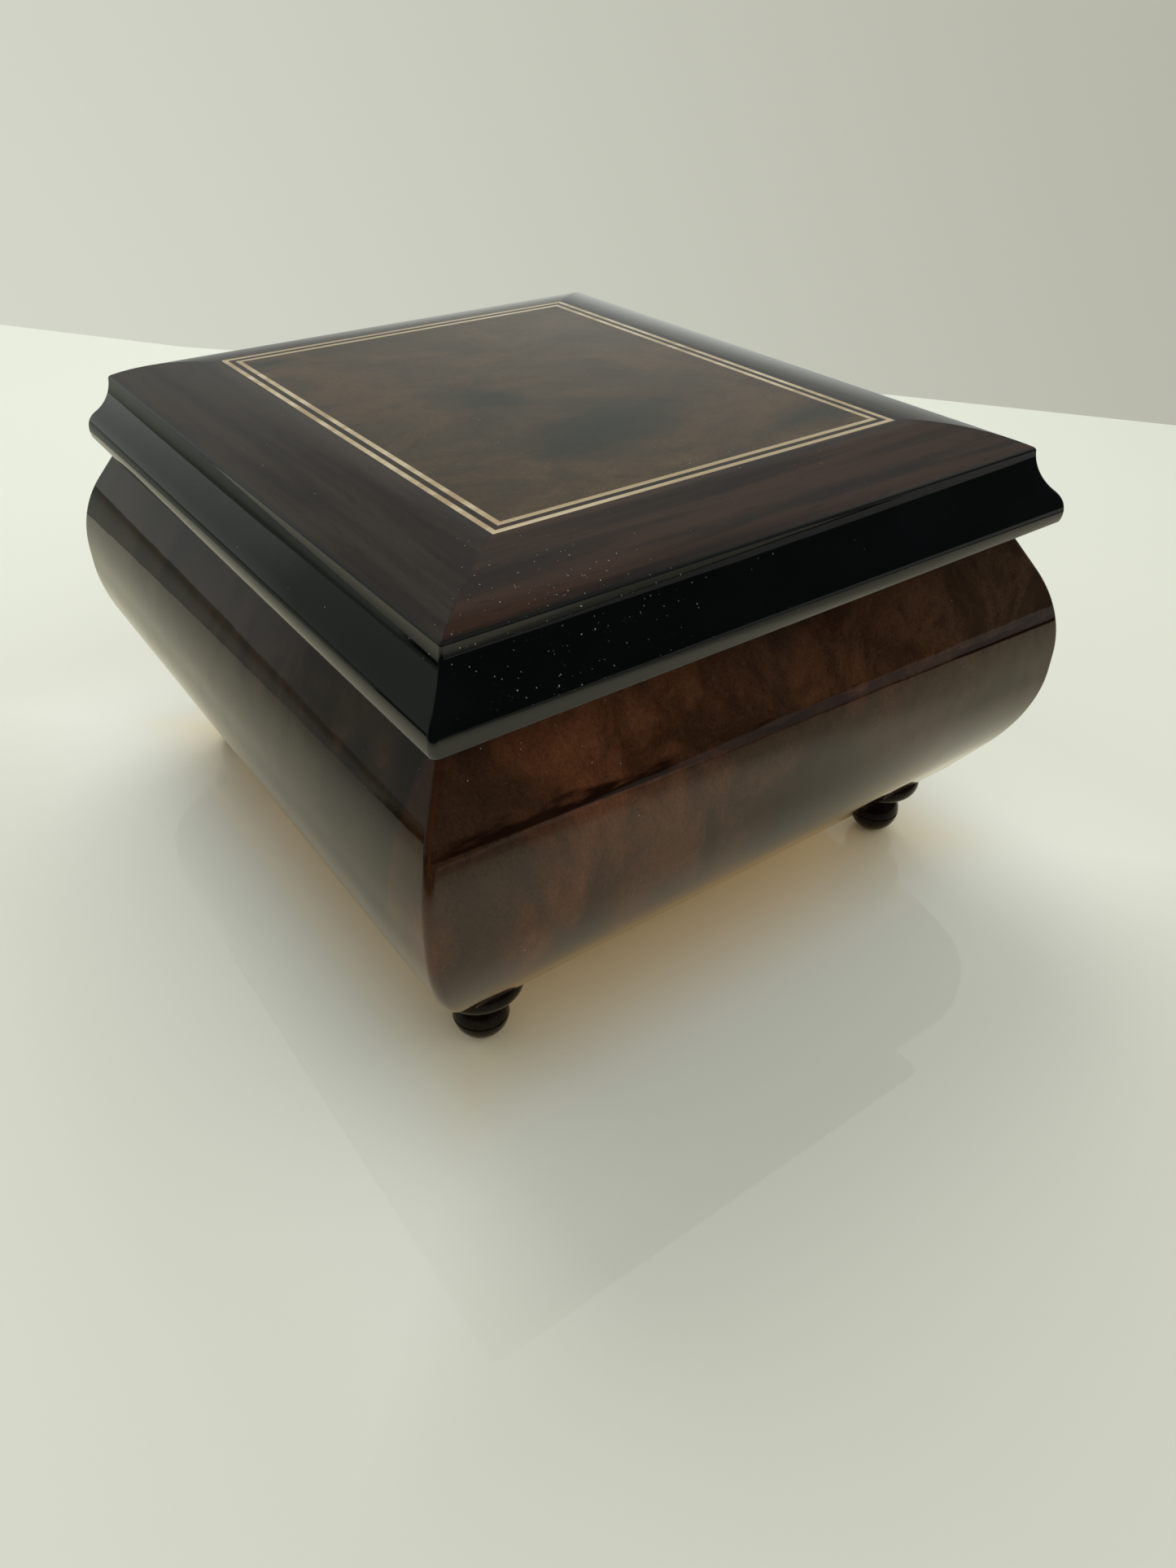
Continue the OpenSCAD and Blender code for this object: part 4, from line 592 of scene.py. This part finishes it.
# %% [markdown]
# The movement is brass and steel. Brass plates are brushed one way, the comb is ground and
# hardened, the spring is blued, and the damper weights are lead. Each metal is the same group
# with its own colour, direction and roughness.

# %% Metals
for title, colour, other, along, rough, vary in (
        ("brass", (0.62, 0.42, 0.15), (0.50, 0.31, 0.10), (30.0, 900.0, 900.0), 0.20, 0.16),
        ("steel", (0.50, 0.50, 0.49), (0.40, 0.40, 0.40), (600.0, 600.0, 60.0), 0.22, 0.14),
        ("comb_steel", (0.56, 0.56, 0.55), (0.42, 0.42, 0.42), (900.0, 30.0, 900.0), 0.24, 0.18),
        ("spring_steel", (0.16, 0.18, 0.24), (0.10, 0.11, 0.14), (500.0, 500.0, 60.0), 0.28, 0.14),
        ("lead", (0.24, 0.24, 0.25), (0.16, 0.16, 0.17), (400.0, 400.0, 400.0), 0.50, 0.16)):
    tree, shader, here = finish(title, metal=1.0)
    metal = use_group(tree, brushed, Vector=here, Along=along, Base=rough - 0.10, Vary=vary)
    paint(tree, shader, Roughness=metal["Roughness"], Base_Color=blend_colour(
        tree, spread(tree, metal["Stain"], 0.3, 0.7), (*other, 1), (*colour, 1)))
    emboss(tree, shader, metal["Height"], 0.12, 0.00003)

# %% [markdown]
# Two plastics are left: the clear cover, which is a pane of acrylic with its index of
# refraction, and the white fly, a small moulded piece. The dust group, with larger cells and no
# dusty corner, gives the cover its few dull spots.

# %% Plastics
ACRYLIC_ROUGH = 0.02
tree, shader, here = finish("clear_plastic", colour=(0.97, 0.98, 0.98, 1), rough=ACRYLIC_ROUGH, IOR=1.49,
                            Transmission_Weight=1.0)
haze = use_group(tree, dust, Vector=here, Scale=420.0, Amount=0.02, Near_Corner=0.0)["Mask"]
paint(tree, shader, Roughness=sums(tree, "MULTIPLY_ADD", haze, 0.3, ACRYLIC_ROUGH))
tree, shader, here = finish("white_plastic", rough=0.4)
tint = noise(tree, here, 300.0, Detail=3.0)
paint(tree, shader, Base_Color=blend_colour(tree, tint, (0.66, 0.66, 0.62, 1), (0.76, 0.76, 0.72, 1)))

# %% [markdown]
# ## Helpers for meshes
# The case and the lid are lofts: one outline is swept through many rings. soften() rounds the
# corners of an outline, because no polished edge is truly sharp and the light catches on it.
# make_piece() turns lists of points and faces into an object, keeps real edges crisp and smooths
# the rest, and lets the piece ride on its body.

# %% Mesh helpers
CRISP_ANGLE = 32.0


def soften(points, where, radius, steps=5):
    """Rounds the outline at the given corners with a short curve."""
    result = []
    for index, (x, y) in enumerate(points):
        if index not in where:
            result.append((x, y))
            continue
        before, after = points[index - 1], points[(index + 1) % len(points)]
        ends = []
        for other in (before, after):
            dx, dy = other[0] - x, other[1] - y
            reach = min(radius / math.hypot(dx, dy), 0.9)
            ends.append((x + dx * reach, y + dy * reach))
        for step in range(steps + 1):
            t = step / steps
            a, b, c = (1 - t) ** 2, 2 * t * (1 - t), t * t
            result.append(tuple(a * p + b * q + c * r for p, q, r in zip(ends[0], (x, y), ends[1])))
    return result


def arc(centre, radius, start, end, steps):
    turns = [math.radians(start + (end - start) * k / steps) for k in range(steps + 1)]
    return [(centre[0] + radius * math.cos(t), centre[1] + radius * math.sin(t)) for t in turns]


def make_piece(title, points, faces, body, material, edge=None, crisp=CRISP_ANGLE):
    mesh = bpy.data.meshes.new(title)
    mesh.from_pydata([tuple(v * MM for v in p) for p in points], [], faces)
    if edge:
        marks = mesh.attributes.new("edge", "FLOAT", "POINT")
        marks.data.foreach_set("value", edge)
    mesh.validate()
    piece = bpy.data.objects.new(title, mesh)
    bpy.context.scene.collection.objects.link(piece)
    mesh.materials.append(finishes[material])
    smooth_out(piece, crisp)
    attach(piece, body)
    return piece


def smooth_out(piece, crisp=CRISP_ANGLE):
    piece.data.shade_smooth()
    piece.data.set_sharp_from_angle(angle=math.radians(crisp))


def rounded_rectangle(half_x, half_y, radius, steps=5, centre=(0.0, 0.0)):
    corners = ((1, -1, -90), (1, 1, 0), (-1, 1, 90), (-1, -1, 180))
    ring = []
    for sx, sy, start in corners:
        middle = (centre[0] + sx * (half_x - radius), centre[1] + sy * (half_y - radius))
        ring += arc(middle, radius, start, start + 90, steps)
    return ring


def loft(rings):
    """Points and faces of closed rings of equal length, with a flat lid on both ends."""
    count = len(rings[0])
    points = [p for ring in rings for p in ring]
    faces = []
    for level in range(len(rings) - 1):
        for k in range(count):
            a, b = level * count + k, level * count + (k + 1) % count
            faces.append((a, b, b + count, a + count))
    faces.append(tuple(reversed(range(count))))
    faces.append(tuple(range(len(points) - count, len(points))))
    return points, faces


def cut_away(piece, cutters):
    for tool in cutters:
        step = piece.modifiers.new("cut", "BOOLEAN")
        step.operation = "DIFFERENCE"
        step.solver = "EXACT"
        step.object = tool
    seen_by = bpy.context.evaluated_depsgraph_get()
    mesh = bpy.data.meshes.new_from_object(piece.evaluated_get(seen_by))
    piece.modifiers.clear()
    piece.data = mesh
    for tool in cutters:
        bpy.data.objects.remove(tool)
    smooth_out(piece)


def cutter(points, faces):
    mesh = bpy.data.meshes.new("cutter")
    mesh.from_pydata([tuple(v * MM for v in p) for p in points], [], faces)
    tool = bpy.data.objects.new("cutter", mesh)
    bpy.context.scene.collection.objects.link(tool)
    return tool


def bar_cutter(x, y, z):
    """A block between the given ranges."""
    points = [(a, b, c) for c in z for b in y for a in x]
    faces = [(0, 2, 3, 1), (4, 5, 7, 6), (0, 1, 5, 4), (2, 6, 7, 3), (0, 4, 6, 2), (1, 3, 7, 5)]
    return cutter(points, faces)


def round_cutter(start, end, radius, end_radius=None, steps=32):
    """A round bar or cone from start to end, which differ along X or along Z."""
    rings = []
    for at, r in ((start, radius), (end, radius if end_radius is None else end_radius)):
        circle = [(r * math.cos(2 * math.pi * k / steps), r * math.sin(2 * math.pi * k / steps))
                  for k in range(steps)]
        if start[0] != end[0]:
            rings.append([(at[0], at[1] + a, at[2] + b) for a, b in circle])
        else:
            rings.append([(at[0] + a, at[1] + b, at[2]) for a, b in circle])
    return cutter(*loft(rings))

# %% [markdown]
# ## The bulging sides
# Each side is a plank whose outside swells out and back in, veneered and mitred at the corners.
# The outline is two arcs of one radius with a short upright between them, and a straight flank
# above and below. The plank is a tube of that outline. Its columns follow a small rounding at
# each corner, half on each side of the mitre, so two neighbours meet in one soft corner.

# %% Sides
RIM_Z, FLOOR_Z, FOOT_H = 67.0, 20.5, 17.0
HALF_W, HALF_D, WALL = 51.9, 61.1, 7.5
CORNER, INNER_EDGE, HEEL = 1.3, 0.05, 0.8
SIDE_H, TOP_ROUND, BEND_STEPS = RIM_Z - FOOT_H, 0.5, 6
swell = arc((-19.4, 25.4), 29.5, 32.062, 0.0, 18) + arc((-19.4, 22.6), 29.5, 0.0, -34.922, 22)


def flank_below(z):
    """How far the lower flank stands out from the rim at height z above the underside."""
    (v0, z0), (v1, z1) = swell[-1], (HEEL, 0.0)
    return v0 + (v1 - v0) * (z0 - z) / (z0 - z1)


def bulged_side(title, half_length, face_out, turn):
    step = FLOOR_Z - FOOT_H
    outside = [(-WALL, SIDE_H), (0.0, SIDE_H)] + swell + [(flank_below(step), step), (-WALL, step)]
    outside = soften(outside, {1}, TOP_ROUND)
    points, edge = [], []
    for v, z in outside:
        mark, r = (1.0, CORNER) if v > -WALL / 2 else (0.0, INNER_EDGE)
        bend_out = arc((half_length + v - r, v - r), r, 90, 45, BEND_STEPS)
        ring = [(-a, b) for a, b in reversed(bend_out)] + bend_out
        for u, out in ring:
            points.append(turn(u, face_out + out, FOOT_H + z))
        edge += [mark, mark * 0.4] + [0.0] * (2 * BEND_STEPS - 2) + [mark * 0.4, mark]
    width, rows = 2 * (BEND_STEPS + 1), len(outside)
    faces = []
    for row in range(rows):
        here, above = row * width, ((row + 1) % rows) * width
        faces += [(here + c, here + c + 1, above + c + 1, above + c) for c in range(width - 1)]
    faces.append(tuple(r * width for r in range(rows)))
    faces.append(tuple(r * width + width - 1 for r in reversed(range(rows))))
    side = make_piece(title + "_veneered", points, faces, "case", "burl_veneer", edge)
    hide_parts(title)
    print(title, len(points), "points")
    return side


bulged_side("front_side", HALF_W, HALF_D, lambda u, v, z: (u, -v, z))
bulged_side("right_side", HALF_D, HALF_W, lambda u, v, z: (v, u, z))
back = bulged_side("back_side", HALF_W, HALF_D, lambda u, v, z: (-u, v, z))
bulged_side("left_side", HALF_D, HALF_W, lambda u, v, z: (-v, -u, z))

# %% [markdown]
# The back side is let in for the two hinges: a round groove for the knuckles and a shallow bed
# for each leaf. A Boolean modifier is the quickest way to cut such beds, and it is applied at
# once so that the piece is plain mesh. The lid is cut with the same tools later.

# %% Hinge beds
HINGE_AT, HINGE_Y, HINGE_L = (-28.0, 28.0), 62.85, 20.0
GROOVE_GAP, GROOVE_R = 0.8, 1.7
BED_HALF, BED_Y = 10.1, (55.4, 70.0)


def hinge_cutters(low, high):
    """A groove and a leaf bed for each hinge. The bed reaches from low to high about the rim."""
    tools = []
    for x in HINGE_AT:
        half = HINGE_L / 2 + GROOVE_GAP
        tools.append(round_cutter((x - half, HINGE_Y, RIM_Z), (x + half, HINGE_Y, RIM_Z), GROOVE_R))
        tools.append(bar_cutter((x - BED_HALF, x + BED_HALF), BED_Y, (RIM_Z + low, RIM_Z + high)))
    return tools


cut_away(back, hinge_cutters(-0.8, 3.0))
print("back side with hinge beds:", len(back.data.polygons), "faces")

# %% [markdown]
# ## The bottom board
# The board closes the case. Its rim carries on the veneered flank, and its underside is bare
# pale wood with six countersunk screws, three more for the movement, and the hole that the
# winding key passes through.

# %% Bottom board
BOARD_T, BEVEL_Z, FLAT_IN, HEEL_ROUND = FLOOR_Z - FOOT_H, 0.9, -3.0, 0.55
SCREW_X, SCREW_Y = (-48.15, 48.15), (-34.0, 0.0, 34.0)
POSTS = [(-24.0, 9.8), (23.95, 9.8), (-4.1, 47.0)]
KEY_HOLE, KEY_HOLE_R = (-15.6, 32.0), 4.0
CUT_FROM, CUT_TO, HEAD_FROM = 16.0, 22.0, 16.9


def wrap_ring(v, z):
    return [(x, y, FOOT_H + z) for x, y in rounded_rectangle(HALF_W + v, HALF_D + v, CORNER, 8)]


def screw_holes(places, head_r, head_to, hole_r):
    """Countersinks and through holes at the given places."""
    heads = [round_cutter((x, y, HEAD_FROM), (x, y, head_to), head_r, hole_r, 24) for x, y in places]
    return heads + [round_cutter((x, y, CUT_FROM), (x, y, CUT_TO), hole_r, None, 24) for x, y in places]


bevel = (flank_below(BEVEL_Z), BEVEL_Z)
rim = [(flank_below(BOARD_T), BOARD_T), bevel]
rim += soften([bevel, (HEEL, 0.0), (FLAT_IN, 0.0)], {1}, HEEL_ROUND)[1:-1]
rings = [wrap_ring(FLAT_IN, 0.0)] + [wrap_ring(v, z) for v, z in reversed(rim)] + [wrap_ring(FLAT_IN, BOARD_T)]
points, faces = loft(rings)
board = make_piece("bottom_board_veneered", points, faces, "case", "burl_veneer")
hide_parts("bottom_board")
tools = screw_holes([(x, y) for x in SCREW_X for y in SCREW_Y], 2.36, 18.2, 1.15)
tools += screw_holes(POSTS, 2.16, 18.1, 1.05)
tools.append(round_cutter((*KEY_HOLE, CUT_FROM), (*KEY_HOLE, CUT_TO), KEY_HOLE_R))
cut_away(board, tools)
print("bottom board:", len(board.data.polygons), "faces")

# %% [markdown]
# The veneer wraps round the rim of the board, so its material asks the surface which way it
# faces: level faces are bare wood, and the rim is polished veneer.

# %% Wood and veneer of the board
VENEER_ROUGH, BARE_ADDS = 0.05, 0.45
tree, shader, here = finish("board_wood_and_veneer", rough=VENEER_ROUGH)
facing = add(tree, "SeparateXYZ", _0=add(tree, "NewGeometry").outputs["True Normal"]).outputs[2]
level = spread(tree, sums(tree, "ABSOLUTE", facing), 0.90, 0.97)
tall = add(tree, "Mapping", _0=here, Scale=UPRIGHT_FIGURE).outputs[0]
wood = use_group(tree, burl, Vector=tall)
bare = use_group(tree, grain, Vector=here)
paint(tree, shader, Base_Color=blend_colour(tree, level, wood["Color"], bare["Color"]),
      Roughness=sums(tree, "MULTIPLY_ADD", level, BARE_ADDS, VENEER_ROUGH))
board.data.materials.clear()
board.data.materials.append(finishes["board_wood_and_veneer"])

# %% [markdown]
# ## The lid's moulding
# From the underside up, the black moulding has a round nose, a cove that touches it, a fine
# arris and a thin lip. Inside the lip the board lies one veneer lower, as a bed for border,
# stringing and panel. The outline is the same all round, so it is lofted through rounded
# rectangles, which gives the mitred corners for nothing.

# %% Lid board
LID_HALF, LID_Y, VENEER, LIP = (53.0, 61.0), -2.9, 0.8, 0.4
CROWN_RUN, CROWN_R, LID_TOP = 15.0, 33.8929, 15.0
ARRIS_Z, BED_STEPS, BED_STEP = 11.5, 10, 1.46
LIP_CORNER, BED_CORNER, CORNER_GROWS = 0.45, 0.3, 0.12


def crown(e):
    """Height of the rounded top above the lid's underside, at e inwards (negative) from its edge."""
    if e <= -CROWN_RUN:
        return LID_TOP
    return LID_TOP - CROWN_R + math.sqrt(CROWN_R ** 2 - (e + CROWN_RUN) ** 2)


nose = arc((0.167, 1.531), 4.533, -19.74, 48.0, 24)
cove = arc((9.714, 12.134), 9.735, 228.0, 183.73, 18)
under = soften([(-6.0, 0.0), nose[0], nose[1]], {1}, 0.3)
over = soften([cove[-2], (0.0, ARRIS_Z), (-LIP, crown(-LIP))], {1}, 0.26)
profile = under[:-1] + nose[1:] + cove[1:-1] + over[1:]
profile += [(-LIP - k * BED_STEP, crown(-LIP - k * BED_STEP) - VENEER) for k in range(BED_STEPS + 1)]
rings, edge = [], []
for e, z in profile:
    corner = (LIP_CORNER if e > -0.5 else BED_CORNER) + CORNER_GROWS * max(e, 0.0)
    ring = rounded_rectangle(LID_HALF[0] + e, LID_HALF[1] + e, corner, 4, (0.0, LID_Y))
    rings.append([(x, y, RIM_Z + z) for x, y in ring])
    edge += [1.0 if abs(z - ARRIS_Z) < 0.16 and abs(e) < 0.3 else 0.0] * len(ring)
points, faces = loft(rings)
lid_board = make_piece("lid_board_moulded", points, faces, "lid", "black_lacquer", edge)
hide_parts("lid_board")
cut_away(lid_board, hinge_cutters(-1.0, 0.8))
print("lid board:", len(lid_board.data.polygons), "faces")

# %% [markdown]
# ## Velvet
# The tray in the front of the case is lined with velvet glued over card, with soft top edges and
# round inner corners, and its floor is slightly full. It is a loft again: down the outside, over
# the edge, down the inside, and in over the floor with rings that grow smaller.

# %% Velvet tray
WALL_T, TRAY_FLOOR, TRAY_FULL = 1.3, 1.6, 0.7
OUTER_CORNER, INNER_CORNER = 0.4, 1.8


def half_size(low, high):
    return (high[0] - low[0]) / 2, (high[1] - low[1]) / 2


low, high = [[v / MM for v in corner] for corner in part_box("compartment_lining")]
half = half_size(low, high)
middle = (0.0, (high[1] + low[1]) / 2)
floor_z = low[2] + TRAY_FLOOR
section = [(0.0, low[2]), (0.0, high[2]), (-WALL_T, high[2]), (-WALL_T, floor_z), (-6.0, floor_z)]
section = soften(soften(section, {3}, 1.4, 4), {1, 2}, 0.55, 4)
rings = []
for v, z in section:
    corner = OUTER_CORNER if v > -0.6 else INNER_CORNER
    rings.append([(x, y, z) for x, y in rounded_rectangle(half[0] + v, half[1] + v, corner, 5, middle)])
for share in (0.75, 0.5, 0.25, 0.06):
    rings.append([(middle[0] + (x - middle[0]) * share, middle[1] + (y - middle[1]) * share,
                   z + TRAY_FULL * (1 - share * share)) for x, y, z in rings[len(section) - 1]])
points, faces = loft(rings)
tray = make_piece("velvet_tray", points, faces, "case", "red_velvet", crisp=50.0)
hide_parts("compartment_lining")
print("velvet tray:", len(points), "points")

# %% [markdown]
# The pad under the lid is thickest in the middle and pulled thin at its edges. Its rings start at
# the glued side, turn the soft edge and close in on the middle. A little chance in the height of
# each point keeps the cloth from looking pressed.

# %% Lid pad
PAD_CORNER, PAD_FULL, PAD_CHANCE = 1.6, 0.55, 0.02
PAD_EDGE = [(-2.0, 0.0), (-0.3, 0.0), (0.0, 0.5), (-0.3, 1.1), (-1.2, 1.6), (-2.6, 2.0), (-4.6, 2.35)]
low, high = [[v / MM for v in corner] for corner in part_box("lid_pad")]
half = half_size(low, high)
random.seed(7)
section = [(v, high[2] - drop) for v, drop in PAD_EDGE]
rings = [[(x, y, z) for x, y in rounded_rectangle(half[0] + v, half[1] + v, PAD_CORNER, 5)] for v, z in section]
for share in (0.85, 0.7, 0.55, 0.4, 0.25, 0.1, 0.02):
    rings.append([(x * share, y * share,
                   z - PAD_FULL * (1 - share ** 2) + random.uniform(-PAD_CHANCE, PAD_CHANCE))
                  for x, y, z in rings[len(section) - 1]])
rings.reverse()
points, faces = loft(rings)
pad = make_piece("velvet_lid_pad", points, faces, "lid", "red_velvet", crisp=60.0)
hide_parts("lid_pad")
print("velvet lid pad:", len(points), "points")

# %% [markdown]
# ## Finishes on the measured solids
# Everything else keeps the measured solid, whose shape is right, and gets its finish. The record
# names a material slot for each node, and most slots carry the name of their finish. The border
# strips are sorted by the way they run.

# %% Dress the solids
slot_finish = {"border_veneer": "border_along_front"}
node_finish = {"border_left": "border_along_side", "border_right": "border_along_side"}
for name, node in nodes.items():
    slot_name = node.material_slots[0].material.name
    wanted = node_finish.get(name, slot_finish.get(slot_name, slot_name))
    for holder in node.material_slots:
        holder.material = finishes[wanted]
print("dressed", len(nodes), "nodes with", len(finishes), "finishes")

# %% Finish
bpy.context.view_layer.update()
